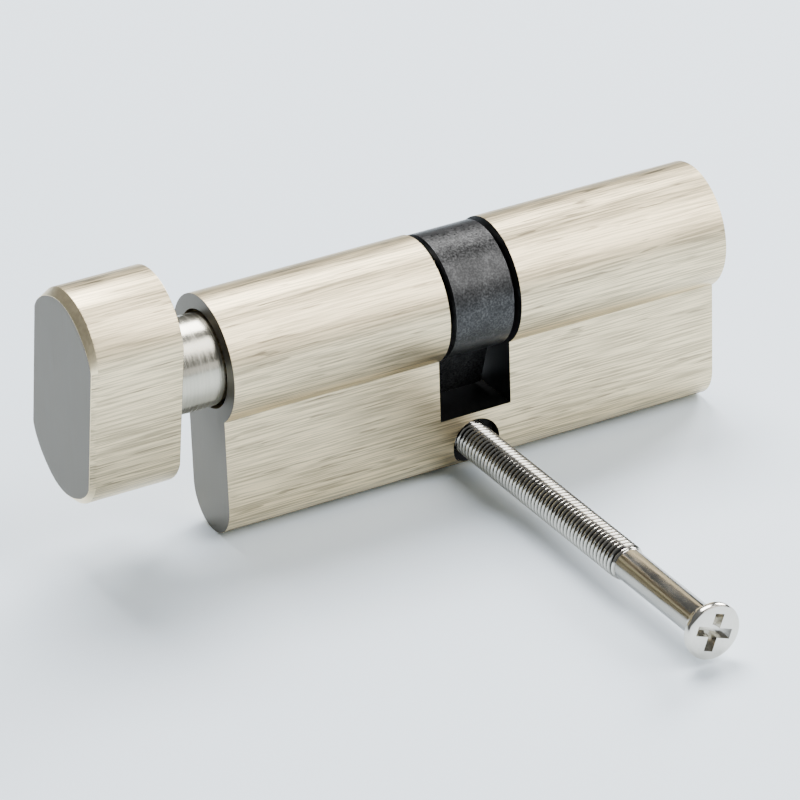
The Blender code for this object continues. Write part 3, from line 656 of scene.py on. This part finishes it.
def brushed_metal(name):
    """Brushed metal: fine strokes and broad streaks, long in one direction, over a slow mottle.

    Scratches, where there are any, are sparse, dark and long in the same direction."""
    brushing = BRUSHED[name]
    material, tree, shader, place = new_finish(name)
    tint = scaled(getattr(settings().finish, brushing.colour), brushing.share)
    contrast, rough = brushing.contrast, brushing.rough
    fine = grain(tree, place, brushing.strokes, detail=8.0)
    broad = grain(tree, place, brushing.streaks, detail=3.0)
    mottle = grain(tree, place, (90.0,) * 3, detail=2.0)
    dark, light = scaled(tint, 1 - contrast), scaled(tint, 1 + contrast / 2)
    stroke_shade = shade(tree, fine, dark, light, 0.38, 0.6)
    streak_dark = (1 - contrast * brushing.streak_share,) * 3
    streak_shade = shade(tree, broad, streak_dark, (1.0,) * 3, 0.35, 0.6)
    base = multiplied(tree, stroke_shade, streak_shade)
    base = multiplied(tree, base, shade(tree, mottle, (0.94,) * 3, (1.0,) * 3))
    height = added(tree, fine, spread(tree, broad, 0.0, 1.0, 0.35, 0.65))
    if brushing.scratches:
        score = grain(tree, place, brushing.scratches, detail=2.0, distortion=0.3)
        base = multiplied(tree, base, shade(tree, score, (0.55,) * 3, (1.0,) * 3, 0.3, 0.37))
        height = added(tree, height, spread(tree, score, 0.3, 0.37, -0.5, 0.0))
    tree.links.new(base, shader.inputs["Base Color"])
    roughness = spread(tree, height, 0.7, 1.3, rough - 0.07, rough + 0.1)
    tree.links.new(roughness, shader.inputs["Roughness"])
    raise_grain(tree, shader, height, brushing.relief)
    return material


def black_steel():
    """Sintered steel with black oxide: grainy, with worn lighter specks."""
    material, tree, shader, place = new_finish("black_steel")
    tint = settings().finish.black
    fine = grain(tree, place, (3800.0,) * 3, detail=4.0)
    rubbed = grain(tree, place, (420.0,) * 3, detail=6.0, distortion=0.4)
    specks = shade(tree, fine, scaled(tint, 0.7), scaled(tint, 2.6), 0.42, 0.72)
    wear = shade(tree, rubbed, (0.62,) * 3, (1.0,) * 3, 0.35, 0.65)
    tree.links.new(multiplied(tree, specks, wear), shader.inputs["Base Color"])
    shader.inputs["Metallic"].default_value = 0.75
    tree.links.new(spread(tree, fine, 0.3, 0.7, 0.26, 0.46), shader.inputs["Roughness"])
    raise_grain(tree, shader, added(tree, fine, rubbed), 0.35)
    return material


def bright_nickel():
    """Bright nickel plate with faint pores and a slow haze, with painted shade on the shank and in the
    thread.

    The painted shade grows darker towards the screw's axis, and leaves out the head and the tip's end."""
    material, tree, shader, place = new_finish("bright_nickel")
    tint = settings().finish.bright
    pores = grain(tree, place, (5200.0,) * 3, detail=2.0)
    haze = grain(tree, place, (350.0,) * 3, detail=4.0)
    haze_shade = shade(tree, haze, scaled(tint, 0.86), scaled(tint, 1.0))
    base = multiplied(tree, haze_shade, shade(tree, pores, (0.85,) * 3, (1.0,) * 3, 0.2, 0.45))
    flat = tree.nodes.new("ShaderNodeMapping")
    flat.inputs["Location"].default_value = (0.0, 0.0, -SCREW_AXIS_Z)
    flat.inputs["Scale"].default_value = (1.0, 0.0, 1.0)
    radius = tree.nodes.new("ShaderNodeVectorMath")
    radius.operation = "LENGTH"
    apart = tree.nodes.new("ShaderNodeSeparateXYZ")
    tree.links.new(place, flat.inputs["Vector"])
    tree.links.new(flat.outputs["Vector"], radius.inputs[0])
    tree.links.new(place, apart.inputs["Vector"])
    sizes = settings().screw
    along = apart.outputs["Y"]
    root = sizes.thread_radius - sizes.thread_depth
    neck = SCREW_LOW[1] + sizes.bright_head
    thread_start = SCREW_HIGH[1] - sizes.thread_length
    tip = SCREW_HIGH[1]
    # Painted shade: the colour darkens towards the screw's axis, darkest in the thread's roots and
    # darker on the shank, but not on the head or the tip's end.
    depth = spread(tree, radius.outputs["Value"], root, sizes.thread_radius, 0.0, 1.0)
    end = spread(tree, along, tip - TIP_BAND[0], tip - TIP_BAND[1], 0.0, 0.8)
    head = spread(tree, along, neck - HEAD_BLEND, neck, 0.7, 0.0)
    plain = spread(tree, along, thread_start - HEAD_BLEND, thread_start, 0.33, 0.0)
    depth = added(tree, added(tree, depth, end), added(tree, head, plain))
    # The painted shade multiplied into the colour.
    base = multiplied(tree, base, shade(tree, depth, (0.05,) * 3, (1.0,) * 3, 0.3, 0.95))
    tree.links.new(base, shader.inputs["Base Color"])
    tree.links.new(spread(tree, haze, 0.3, 0.7, 0.09, 0.2), shader.inputs["Roughness"])
    raise_grain(tree, shader, pores, 0.08, GRAIN_DEPTH / 2)
    return material


def finish(name):
    """The finish of this name, made the first time that it is asked for."""
    made = bpy.data.materials.get(f"{name}_finish")
    if made:
        return made
    if name in BRUSHED:
        return brushed_metal(name)
    return {"black_steel": black_steel, "bright_nickel": bright_nickel}[name]()


# ================================================================ housing
def profile_outline(sizes):
    """The euro profile: a round lobe, two flat web sides and a full round foot.

    The lobe is a circle about the axis down to where it meets the web's sides, and the foot is
    half a circle as wide as the web."""
    half = sizes.web_thickness / 2
    meeting = np.arcsin(half / sizes.lobe_radius)
    lobe = arc(sizes.lobe_radius, meeting - np.pi / 2, 1.5 * np.pi - meeting, ROUND_STEPS)
    foot = arc(half, np.pi, 2 * np.pi, ROUND_STEPS // 2, (0.0, BODY_LOW[2] + half))
    return np.concatenate([lobe, foot])


def chamber_x(number):
    """Where pin chamber number stands along the axis."""
    low, high = node_box(f"driver_pin_{number}")
    return (low[0] + high[0]) / 2


def body_cutters(sizes):
    """What is cut out of the housing: bores, cam gap, pin chambers and fixing hole."""
    end = sizes.half_length + OVERSHOOT
    side = sizes.lobe_radius + OVERSHOOT
    gap = sizes.gap_width / 2
    web = sizes.web_thickness / 2
    deep = web - sizes.mouth_depth
    out = web + OVERSHOOT
    hole_at = (0.0, 0.0, SCREW_AXIS_Z)
    cutters = [
        rod_along_x("plug_bore", sizes.bore_radius, -end, end),
        rod_along_x("flange_seat", sizes.seat_radius, sizes.half_length - sizes.seat_depth, end),
        block("cam_gap", (-gap, -side, -sizes.gap_floor), (gap, side, side)),
        rod_along_y("fixing_hole", sizes.hole_radius, -out, out, hole_at),
        rod_along_y("front_mouth", sizes.mouth_radius, -out, -deep, hole_at),
        rod_along_y("back_mouth", sizes.mouth_radius, deep, out, hole_at),
    ]
    bottom = BODY_LOW[2] - OVERSHOOT
    for number in PIN_NUMBERS:
        at = (chamber_x(number), 0.0, 0.0)
        top = -sizes.bore_radius + OVERSHOOT
        cutters.append(rod_along_z("pin_chamber", sizes.chamber_radius, bottom, top, at))
    return cutters


class EUROCYL_OT_body(bpy.types.Operator):
    """Builds the housing with its bores, cam gap and fixing hole."""

    bl_idname = "eurocyl.body"
    bl_label = "Housing"

    def execute(self, context):
        sizes = settings().body
        ends = (-sizes.half_length, sizes.half_length)
        body = shell("housing", along_x(profile_outline(sizes), ends))
        # The ends get a darker nickel and the walls of the gap and hole a black, both painted shade.
        finish_faces(body, "satin_nickel", "end_nickel", "worn_edge", "dark_wall")
        cut(body, body_cutters(sizes))
        ease_edges(body, sizes.edge_round, edge_slot=2)
        mark_painted_shade_ends(body)
        mark_painted_shade_walls(body, sizes)
        fit(body, "housing", "cylinder_body")
        return {"FINISHED"}


# ================================================================ plugs
def nose_profile(sizes, nose_end, side):
    """The turned nose in the cam, with its clip groove, from its end out to the shoulder."""
    return [
        (side * nose_end, sizes.nose_radius),
        (side * sizes.groove_inner, sizes.nose_radius),
        (side * sizes.groove_inner, sizes.groove_radius),
        (side * sizes.groove_outer, sizes.groove_radius),
        (side * sizes.groove_outer, sizes.nose_radius),
        (side * sizes.nose_start, sizes.nose_radius),
        (side * sizes.nose_start, sizes.plug_radius),
    ]


def keyway_outline(sizes):
    """The keyway seen from its end: a slot that steps aside in its middle third."""
    half = sizes.keyway_width / 2
    step = sizes.keyway_step
    rise = (sizes.keyway_top - sizes.keyway_bottom) / 3
    heights = np.array([0, rise, rise + step, 2 * rise - step, 2 * rise, 3 * rise])
    heights = sizes.keyway_bottom + heights
    aside = np.array([0, 0, step, step, 0, 0])
    right = np.stack([half + aside, heights], axis=1)
    left = np.stack([aside - half, heights], axis=1)[::-1]
    return np.concatenate([right, left])


def nose_slot(name, low, high):
    """The slot across a plug's nose, turned with the cam."""
    sizes = settings().plugs
    half = sizes.slot_width / 2
    reach = settings().cam.slot_radius + OVERSHOOT
    outline = np.array([(-half, -reach), (half, -reach), (half, reach), (-half, reach)])
    return shell(name, turned_about_x(along_x(outline, (low, high)), settings().cam.turn))


def make_plug(name, profile, cutters, body, node):
    """Turns a plug from its profile and cuts it."""
    plug = shell(name, lathe(profile))
    finish_faces(plug, "turned_nickel", "end_nickel", "worn_edge")
    cut(plug, cutters)
    ease_edges(plug, CUT_EASE, edge_slot=2)
    mark_painted_shade_ends(plug)
    fit(plug, body, node)


class EUROCYL_OT_key_plug(bpy.types.Operator):
    """Builds the keyed plug with its flange, keyway and pin chambers."""

    bl_idname = "eurocyl.key_plug"
    bl_label = "Key Plug"

    def execute(self, context):
        sizes = settings().plugs
        start, end = KEY_PLUG_LOW[0], KEY_PLUG_HIGH[0]
        flange = end - sizes.flange_thickness
        profile = [
            *nose_profile(sizes, start, 1),
            (flange, sizes.plug_radius),
            (flange, sizes.flange_radius),
            (end, sizes.flange_radius),
            (end, sizes.bore_radius),
        ]
        keyway = along_x(keyway_outline(sizes), (end - sizes.keyway_length, end + OVERSHOOT))
        cutters = [
            shell("keyway", keyway),
            rod_along_x("clutch_bore", sizes.bore_radius, start - OVERSHOOT, sizes.bore_length),
            nose_slot("key_nose_slot", start - OVERSHOOT, sizes.slot_reach),
        ]
        reach = (settings().body.chamber_radius, -sizes.plug_radius - OVERSHOOT, sizes.chamber_top)
        for number in PIN_NUMBERS:
            cutters.append(rod_along_z("plug_chamber", *reach, (chamber_x(number), 0.0, 0.0)))
        make_plug("keyed_plug", eased(profile, KEY_PLUG_EASE), cutters, "key_side_plug", "key_plug")
        return {"FINISHED"}


class EUROCYL_OT_knob_plug(bpy.types.Operator):
    """Builds the thumbturn's spindle: nose, plug, neck and stub."""

    bl_idname = "eurocyl.knob_plug"
    bl_label = "Thumbturn Spindle"

    def execute(self, context):
        sizes = settings().plugs
        end, start = KNOB_PLUG_LOW[0], KNOB_PLUG_HIGH[0]
        profile = [
            *nose_profile(sizes, -start, -1),
            (-sizes.neck_start, sizes.plug_radius),
            (-sizes.neck_start - sizes.neck_slope, sizes.neck_radius),
            (-sizes.neck_end, sizes.neck_radius),
            (-sizes.neck_end, sizes.stub_radius),
            (end, sizes.stub_radius),
        ]
        bore = (sizes.bore_radius, -sizes.spring_bore_length, start + OVERSHOOT)
        cutters = [
            rod_along_x("spring_bore", *bore),
            nose_slot("knob_nose_slot", -sizes.slot_reach, start + OVERSHOOT),
        ]
        make_plug("spindle", eased(profile, SPINDLE_EASE), cutters, "knob", "knob_plug")
        return {"FINISHED"}


def clip_outline(inner, outer, opening):
    """A C-shaped clip: an outer arc, a round nose at each end and an inner arc back."""
    bottom = -np.pi / 2
    outer_arc = arc(outer, bottom + opening / 2, bottom + 2 * np.pi - opening / 2, ROUND_STEPS)
    inner_arc = arc(inner, bottom + 2 * np.pi - opening / 2, bottom + opening / 2, ROUND_STEPS)
    return np.concatenate([outer_arc, inner_arc])


class EUROCYL_OT_clips(bpy.types.Operator):
    """Builds the two retaining clips beside the cam."""

    bl_idname = "eurocyl.clips"
    bl_label = "Retaining Clips"

    def execute(self, context):
        sizes = settings().plugs
        for node, body, turn in (
            ("circlip_key_side", "key_side_plug", 0.0),
            ("circlip_knob_side", "knob", settings().knob.turn),
        ):
            low, high = node_box(node)
            outline = clip_outline(sizes.clip_inner, high[1], sizes.clip_opening)
            clip = shell(f"{node}_ring", turned_about_x(along_x(outline, (low[0], high[0])), turn))
            finish_faces(clip, "plain_steel")
            ease_edges(clip, CLIP_EASE)
            fit(clip, body, node)
        return {"FINISHED"}


# ================================================================ cam and clutch
def cam_outline(sizes):
    """The cam seen along the axis: a ring, and a tab whose end is round about the same axis.

    The ring's circle is left and met again where it reaches the tab's two flat flanks."""
    half = sizes.tab_thickness / 2
    root = np.arcsin(half / sizes.ring_radius)
    tip = np.arcsin(half / sizes.reach)
    down = -np.pi / 2
    ring = arc(sizes.ring_radius, down + root, down + 2 * np.pi - root, ROUND_STEPS)
    end = arc(sizes.reach, down - tip, down + tip, ROUND_STEPS // 6)
    return np.concatenate([ring, end])


class EUROCYL_OT_cam(bpy.types.Operator):
    """Builds the black cam and finishes the two clutch pieces inside it."""

    bl_idname = "eurocyl.cam"
    bl_label = "Cam and Clutch"

    def execute(self, context):
        sizes = settings().cam
        half = sizes.width / 2
        rings = turned_about_x(along_x(cam_outline(sizes), (-half, half)), sizes.turn)
        cam = shell("cam_ring_and_tab", rings)
        finish_faces(cam, "black_steel", edge="rubbed_black")
        slot = sizes.slot_width / 2
        out = half + OVERSHOOT
        radius = sizes.slot_radius
        bar = np.array([(-slot, -radius), (slot, -radius), (slot, radius), (-slot, radius)])
        cutters = [
            rod_along_x("cam_bore", sizes.bore_radius, -out, out),
            rod_along_x("key_groove", radius, sizes.groove_inner, sizes.groove_outer),
            rod_along_x("knob_groove", radius, -sizes.groove_outer, -sizes.groove_inner),
            shell("driving_slot", turned_about_x(along_x(bar, (-out, out)), sizes.turn)),
        ]
        cut(cam, cutters)
        ease_edges(cam, sizes.edge_round, edge_slot=2)
        fit(cam, "cam", "cam")
        for node in ("clutch_key_side", "clutch_knob_side"):
            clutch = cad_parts[node]
            clutch.data.materials.clear()
            clutch.data.materials.append(finish("plain_steel"))
        return {"FINISHED"}


# ================================================================ springs
def coil(radius, wire, low, high, turns):
    """A coil spring on X: a round wire carried along a helix whose ends lie flat.

    The helix is (x, r cos t, r sin t). Its x rises evenly, but for the first and last turn, which
    the smooth step at each end makes lie flat. At each step the wire's circle is drawn with the
    outward direction and the direction square to it and to the helix."""
    steps = turns * SMALL_ROUND_STEPS
    share = np.linspace(0, 1, steps + 1)
    turn = 2 * np.pi * turns * share
    flat = 1.0 / turns
    climb = np.clip((share - flat / 2) / (1 - flat), 0, 1)
    x = low + wire + (high - low - 2 * wire) * climb
    path = np.stack([x, radius * np.cos(turn), radius * np.sin(turn)], axis=1)
    outward = np.stack([np.zeros_like(turn), np.cos(turn), np.sin(turn)], axis=1)
    ahead = np.gradient(path, axis=0)
    ahead /= np.linalg.norm(ahead, axis=1, keepdims=True)
    across = np.cross(ahead, outward)
    around = np.linspace(0, 2 * np.pi, WIRE_STEPS, endpoint=False)[None, :, None]
    circle = np.cos(around) * outward[:, None] + np.sin(around) * across[:, None]
    return path[:, None] + wire * circle


class EUROCYL_OT_springs(bpy.types.Operator):
    """Winds the pin springs and the clutch spring."""

    bl_idname = "eurocyl.springs"
    bl_label = "Springs"

    def execute(self, context):
        for number in PIN_NUMBERS:
            place = (chamber_x(number), 0.0, 0.0)
            joint = f"driver_pin_{number}_lift"
            travel = settings().pins.lift
            self.wind(f"pin_spring_{number}", "housing", joint, (0, 0, 1), travel, place)
        travel = settings().cam.clutch_travel
        self.wind("clutch_spring", "knob", "knob_clutch_slide", (1, 0, 0), travel)
        return {"FINISHED"}

    def wind(self, node, body, joint, axis, travel, place=None):
        """Winds one spring, upright where it has a place."""
        sizes = settings().pins
        low, high = node_box(node)
        radius = (high[1] - low[1]) / 2 - sizes.wire_radius
        start, end = np.dot(low, axis), np.dot(high, axis)
        rings = coil(radius, sizes.wire_radius, start, end, sizes.turns)
        if place:
            rings = x_to_z(rings, place)
        spring = shell(f"{node}_coil", rings)
        finish_faces(spring, "plain_steel")
        fit(spring, body, node)
        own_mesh(spring)


# ================================================================ pin stacks
class EUROCYL_OT_pins(bpy.types.Operator):
    """Turns the key pins, driver pins and chamber plugs."""

    bl_idname = "eurocyl.pins"
    bl_label = "Pin Stacks"

    def execute(self, context):
        for number in PIN_NUMBERS:
            self.key_pin(number)
            self.driver_pin(number)
            self.chamber_plug(number)
        return {"FINISHED"}

    def turn_pin(self, number, node, name, profile, ease, metal="brass"):
        """Turns one upright pin from its profile of heights and radii."""
        place = (chamber_x(number), 0.0, 0.0)
        pin = shell(name, x_to_z(lathe(eased(profile, ease), SMALL_ROUND_STEPS), place))
        finish_faces(pin, "turned_brass" if metal == "brass" else "plain_steel")
        fit(pin, "housing" if node.startswith("chamber") else node, node)

    def key_pin(self, number):
        """A key pin: a flat foot with a rounded edge, a plain side and a blunt cone."""
        sizes = settings().pins
        node = f"key_pin_{number}"
        low, high = node_box(node)
        radius = sizes.pin_radius
        profile = [
            (low[2], 0.6 * radius),
            (low[2], 0.85 * radius),
            (low[2] + sizes.foot, radius),
            (high[2] - sizes.cone, radius),
            (high[2], sizes.tip_radius),
            (high[2], 0.5 * sizes.tip_radius),
        ]
        self.turn_pin(number, node, f"{node}_turned", profile, KEY_PIN_EASE)

    def driver_pin(self, number):
        """A driver pin: chamfered ends and a shallow waist in its middle."""
        sizes = settings().pins
        node = f"driver_pin_{number}"
        low, high = node_box(node)
        radius = sizes.pin_radius
        middle = (low[2] + high[2]) / 2
        profile = [
            (low[2], 0.5 * radius),
            (low[2], radius - sizes.chamfer),
            (low[2] + sizes.chamfer, radius),
            (middle - sizes.waist_outer, radius),
            (middle - sizes.waist_inner, radius - sizes.waist),
            (middle + sizes.waist_inner, radius - sizes.waist),
            (middle + sizes.waist_outer, radius),
            (high[2] - sizes.chamfer, radius),
            (high[2], radius - sizes.chamfer),
            (high[2], 0.5 * radius),
        ]
        self.turn_pin(number, node, f"{node}_turned", profile, DRIVER_PIN_EASE, "steel")

    def chamber_plug(self, number):
        """A chamber plug: a short round slug with eased ends."""
        node = f"chamber_plug_{number}"
        low, high = node_box(node)
        radius = (high[1] - low[1]) / 2
        profile = [
            (low[2], 0.5 * radius),
            (low[2], radius),
            (high[2], radius),
            (high[2], 0.5 * radius),
        ]
        self.turn_pin(number, node, f"{node}_slug", profile, CHAMBER_PLUG_EASE)


# ================================================================ thumbturn
def knob_rings(sizes, low, high):
    """The thumbturn as rings that shrink at its two faces.

    Each ring is two arcs about the same two centres, less an inset that follows a profile with
    eased corners. The flanks are milled after the chamfer is turned, so that the inset at the
    outer face fades to the flank share where the arcs run into the flanks: it grows with the
    sine of the turn from the flank, smoothed at both ends."""
    profile = eased(
        [
            (low, 2 * sizes.chamfer),
            (low, sizes.chamfer),
            (low + sizes.chamfer, 0.0),
            (high, 0.0),
            (high, sizes.inner_face),
        ],
        sizes.edge_round,
    )
    reach = np.arcsin(sizes.width / 2 / sizes.end_radius)
    centre = sizes.height / 2 - sizes.end_radius
    turn = np.pi / 2 + reach * np.linspace(-1, 1, ROUND_STEPS // 2 + 1)[None, :]
    rise = np.clip((np.sin(turn) - np.cos(reach)) / sizes.chamfer_fade, 0, 1)
    share = sizes.flank_share + (1 - sizes.flank_share) * rise**2 * (3 - 2 * rise)
    at_face = profile[:, :1] < low + sizes.chamfer + sizes.edge_round
    radius = sizes.end_radius - profile[:, 1:] * np.where(at_face, share, 1.0)
    top = np.stack([radius * np.cos(turn), centre + radius * np.sin(turn)], axis=-1)
    outline = np.concatenate([top, -top], axis=1)
    return along_x(outline, profile[:, 0])


class EUROCYL_OT_knob(bpy.types.Operator):
    """Builds the thumbturn and its set screw."""

    bl_idname = "eurocyl.knob"
    bl_label = "Thumbturn"

    def execute(self, context):
        sizes = settings().knob
        low, high = KNOB_LOW[0], KNOB_HIGH[0]
        knob = shell("thumbturn", turned_about_x(knob_rings(sizes, low, high), sizes.turn))
        finish_faces(knob, "satin_nickel", "end_nickel", "worn_edge")
        hole_at = (sizes.set_screw_x, 0.0, 0.0)
        hole_radius = sizes.set_screw_radius + RUNNING
        bottom = -sizes.height / 2 - OVERSHOOT
        bore = lathe([(bottom, hole_radius), (sizes.hole_end, hole_radius)], SMALL_ROUND_STEPS)
        hole = shell("set_screw_hole", turned_about_x(x_to_z(bore, hole_at), sizes.turn))
        cutters = [
            rod_along_x("recess", sizes.recess_radius, high - sizes.recess_depth, high + OVERSHOOT),
            rod_along_x("socket", sizes.socket_radius, sizes.socket_end, high),
            hole,
        ]
        cut(knob, cutters)
        mark_painted_shade_ends(knob)

        def chamfered(normal, centre, slot):
            near = centre[:, 0] < low + sizes.chamfer
            return near & (normal[:, 0] < -sizes.flank_share) & (slot == 0)

        mark_faces(knob, 2, chamfered)
        fit(knob, "knob", "thumbturn_knob")
        self.set_screw(sizes, hole_at)
        return {"FINISHED"}

    def set_screw(self, sizes, at):
        """The headless set screw: a threaded slug with a hexagon socket in its lower end."""
        low, high = sizes.set_screw_bottom, sizes.set_screw_top
        rows = np.linspace(low, high, SET_SCREW_ROWS)
        rim = sizes.set_screw_rim
        envelope = sizes.set_screw_radius - np.clip(rim - np.minimum(rows - low, high - rows), 0, rim)
        rings = threaded(rows, envelope, np.full_like(rows, rim), sizes.set_screw_pitch)
        screw = shell("set_screw", turned_about_x(x_to_z(rings, at), sizes.turn))
        finish_faces(screw, "black_steel")
        corner = sizes.hexagon_radius
        socket = lathe([(low - OVERSHOOT, corner), (low + sizes.hexagon_depth, corner)], 6)
        cut(screw, [shell("hexagon", turned_about_x(x_to_z(socket, at), sizes.turn))])
        fit(screw, "knob", "knob_set_screw")


# ================================================================ fixing screw
def threaded(rows, envelope, depth, pitch):
    """A threaded surface about X.

    The radius is the envelope less the depth times a groove, and the groove is a triangle wave of
    x over the pitch less the turn, cut flat at the crest and at the root."""
    turn = np.linspace(0, 2 * np.pi, THREAD_STEPS, endpoint=False)[None, :]
    phase = rows[:, None] / pitch - turn / (2 * np.pi)
    wave = np.abs(2 * (phase - np.floor(phase)) - 1)
    groove = np.clip(1.5 * wave - 0.25, 0, 1)
    r = envelope[:, None] - depth[:, None] * groove
    x = np.broadcast_to(rows[:, None], r.shape)
    return np.stack([x, r * np.cos(turn), r * np.sin(turn)], axis=-1)


def screw_rings(sizes, face, tip):
    """The screw along its axis: head, cone, plain shank, thread run-out, thread and blunt tip."""
    cone = sizes.head_radius - sizes.shank_radius
    cone_start = face + sizes.head_rim
    thread_start = tip - sizes.thread_length
    run_out = 1.2 * sizes.pitch
    head = np.concatenate(
        [
            RIM_CURVE + (face, sizes.head_radius),
            CONE_EDGE + (cone_start, sizes.head_radius),
            SHANK_CURVE + (cone_start + cone, sizes.shank_radius),
            [(thread_start - run_out, sizes.shank_radius)],
        ]
    )
    rows = np.arange(thread_start - run_out, tip, sizes.pitch / 10)[1:]
    rows = np.append(rows, tip)
    grown = np.clip((rows - thread_start + run_out) / run_out, 0, 1)
    blunt = np.clip(rows - tip + sizes.blunt, 0, sizes.blunt)
    envelope = sizes.shank_radius + grown * (sizes.thread_radius - sizes.shank_radius) - blunt
    depth = sizes.thread_depth * grown * (1 - blunt / sizes.blunt)
    plain = threaded(head[:, 0], head[:, 1], np.zeros(len(head)), sizes.pitch)
    return np.concatenate([plain, threaded(rows, envelope, depth, sizes.pitch)])


def cross_rings(sizes, face):
    """The cross recess as a cutter: a plus sign that narrows as it goes deeper.

    The plus sign has twelve corners at the half span and the half width of its arms."""
    depth = np.array([-0.4, 0.0, 0.8, 1.0]) * sizes.recess_depth
    span = np.array([1.1, 1.0, 0.66, 0.42]) * sizes.recess_span / 2
    wide = np.array([1.12, 1.0, 0.84, 0.6]) * sizes.recess_width / 2
    signs = np.array(
        [(1, 1, 0), (1, 1, 1), (1, 1, 2), (-1, 1, 2), (-1, 1, 1), (-1, 1, 0)]
    )
    signs = np.concatenate([signs, signs * np.array([-1, -1, 1])])
    along = np.where(signs[:, 2] == 0, span[:, None], wide[:, None]) * signs[:, 0]
    up = np.where(signs[:, 2] == 2, span[:, None], wide[:, None]) * signs[:, 1]
    return along_x(np.stack([along, up], axis=-1), face + depth)


class EUROCYL_OT_screw(bpy.types.Operator):
    """Builds the long countersunk fixing screw with its thread and cross recess."""

    bl_idname = "eurocyl.screw"
    bl_label = "Fixing Screw"

    def execute(self, context):
        sizes = settings().screw
        face, tip = SCREW_LOW[1], SCREW_HIGH[1]
        at = (0.0, 0.0, SCREW_AXIS_Z)
        screw = shell("long_screw", x_to_y(screw_rings(sizes, face, tip), at))
        finish_faces(screw, "bright_nickel")
        recess = turned_about_x(cross_rings(sizes, face), -sizes.recess_turn)
        cut(screw, [shell("cross_recess", x_to_y(recess, at))])
        fit(screw, "fixing_screw", "fixing_screw")
        return {"FINISHED"}


# ================================================================ stage
def softbox(name, place, size, power):
    """A square soft light that looks at the middle of the cylinder."""
    light = bpy.data.lights.new(name, "AREA")
    light.shape = "RECTANGLE"
    light.size, light.size_y = size
    light.energy = power
    item = bpy.data.objects.new(name, light)
    item.location = place
    item.rotation_euler = (LIT_POINT - item.location).to_track_quat("-Z", "Y").to_euler()
    bpy.context.scene.collection.objects.link(item)


def make_camera(stage):
    """The camera: drawn back from its aim, rolled, raised to its elevation and turned by azimuth."""
    camera = bpy.data.cameras.new("camera")
    camera.lens = stage.lens
    camera.sensor_width = SENSOR_WIDTH
    camera.clip_start = NEAR_CLIP
    item = bpy.data.objects.new("camera", camera)
    item.matrix_world = (
        Matrix.Translation(stage.aim)
        @ Matrix.Rotation(stage.azimuth, 4, "Z")
        @ Matrix.Rotation(np.pi / 2 - stage.elevation, 4, "X")
        @ Matrix.Rotation(stage.roll, 4, "Z")
        @ Matrix.Translation((0, 0, stage.distance))
    )
    bpy.context.scene.collection.objects.link(item)
    bpy.context.scene.camera = item


def floor_finish(stage):
    """Pale matt paper with a faint slow mottle."""
    material, tree, shader, place = new_finish("pale_floor")
    shader.inputs["Metallic"].default_value = 0.0
    shader.inputs["Roughness"].default_value = 0.55
    tint = tuple(stage.floor)
    mottle = grain(tree, place, (3.0, 3.0, 3.0), detail=2.0)
    tree.links.new(shade(tree, mottle, scaled(tint, 0.97), tint), shader.inputs["Base Color"])
    return material


class EUROCYL_OT_stage(bpy.types.Operator):
    """Sets the floor, the lights and the camera."""

    bl_idname = "eurocyl.stage"
    bl_label = "Stage"

    def execute(self, context):
        stage = settings().stage
        make_camera(stage)
        side = FLOOR_SIDE
        top = CAD_BOUNDS[0][2] - FLOOR_GAP
        floor = block("floor", (-side, -side, top - FLOOR_DEPTH), (side, side, top))
        floor.data.materials.append(floor_finish(stage))
        softbox("main_light", (0.38, -0.45, 0.6), (0.5, 0.8), 8.8)
        softbox("top_light", (0.1, 0.4, 0.8), (0.5, 0.5), 15.0)
        softbox("right_light", (0.85, 0.5, 0.5), (0.4, 0.4), 15.0)
        softbox("front_light", (0.5, -0.9, 0.16), (0.8, 0.3), 1.1)
        world = bpy.data.worlds.new("room")
        world.use_nodes = True
        background = world.node_tree.nodes["Background"]
        background.inputs["Color"].default_value = (*stage.sky, 1.0)
        background.inputs["Strength"].default_value = stage.sky_strength
        context.scene.world = world
        return {"FINISHED"}


# ================================================================ add-on
OPERATORS = (
    EUROCYL_OT_stage,
    EUROCYL_OT_body,
    EUROCYL_OT_key_plug,
    EUROCYL_OT_knob_plug,
    EUROCYL_OT_clips,
    EUROCYL_OT_cam,
    EUROCYL_OT_springs,
    EUROCYL_OT_pins,
    EUROCYL_OT_knob,
    EUROCYL_OT_screw,
)


class EUROCYL_PT_panel(bpy.types.Panel):
    """Lists the operators that build the cylinder."""

    bl_idname = "EUROCYL_PT_panel"
    bl_label = "Euro Cylinder"
    bl_space_type = "VIEW_3D"
    bl_region_type = "UI"
    bl_category = "Euro Cylinder"

    def draw(self, context):
        """Draws one button for each operator."""
        for operator in OPERATORS:
            self.layout.operator(operator.bl_idname, text=operator.bl_label)


CLASSES = (
    EUROCYL_PG_body,
    EUROCYL_PG_plugs,
    EUROCYL_PG_cam,
    EUROCYL_PG_knob,
    EUROCYL_PG_screw,
    EUROCYL_PG_pins,
    EUROCYL_PG_finish,
    EUROCYL_PG_stage,
    EUROCYL_PG_settings,
    *OPERATORS,
    EUROCYL_PT_panel,
)


def register():
    """Registers the classes and the settings."""
    for item in CLASSES:
        bpy.utils.register_class(item)
    bpy.types.Scene.euro_cylinder = PointerProperty(type=EUROCYL_PG_settings)


def unregister():
    """Removes the settings and the classes."""
    del bpy.types.Scene.euro_cylinder
    for item in reversed(CLASSES):
        bpy.utils.unregister_class(item)


def main():
    register()
    for operator in OPERATORS:
        group, name = operator.bl_idname.split(".")
        getattr(getattr(bpy.ops, group), name)()


if __name__ == "__main__":
    main()
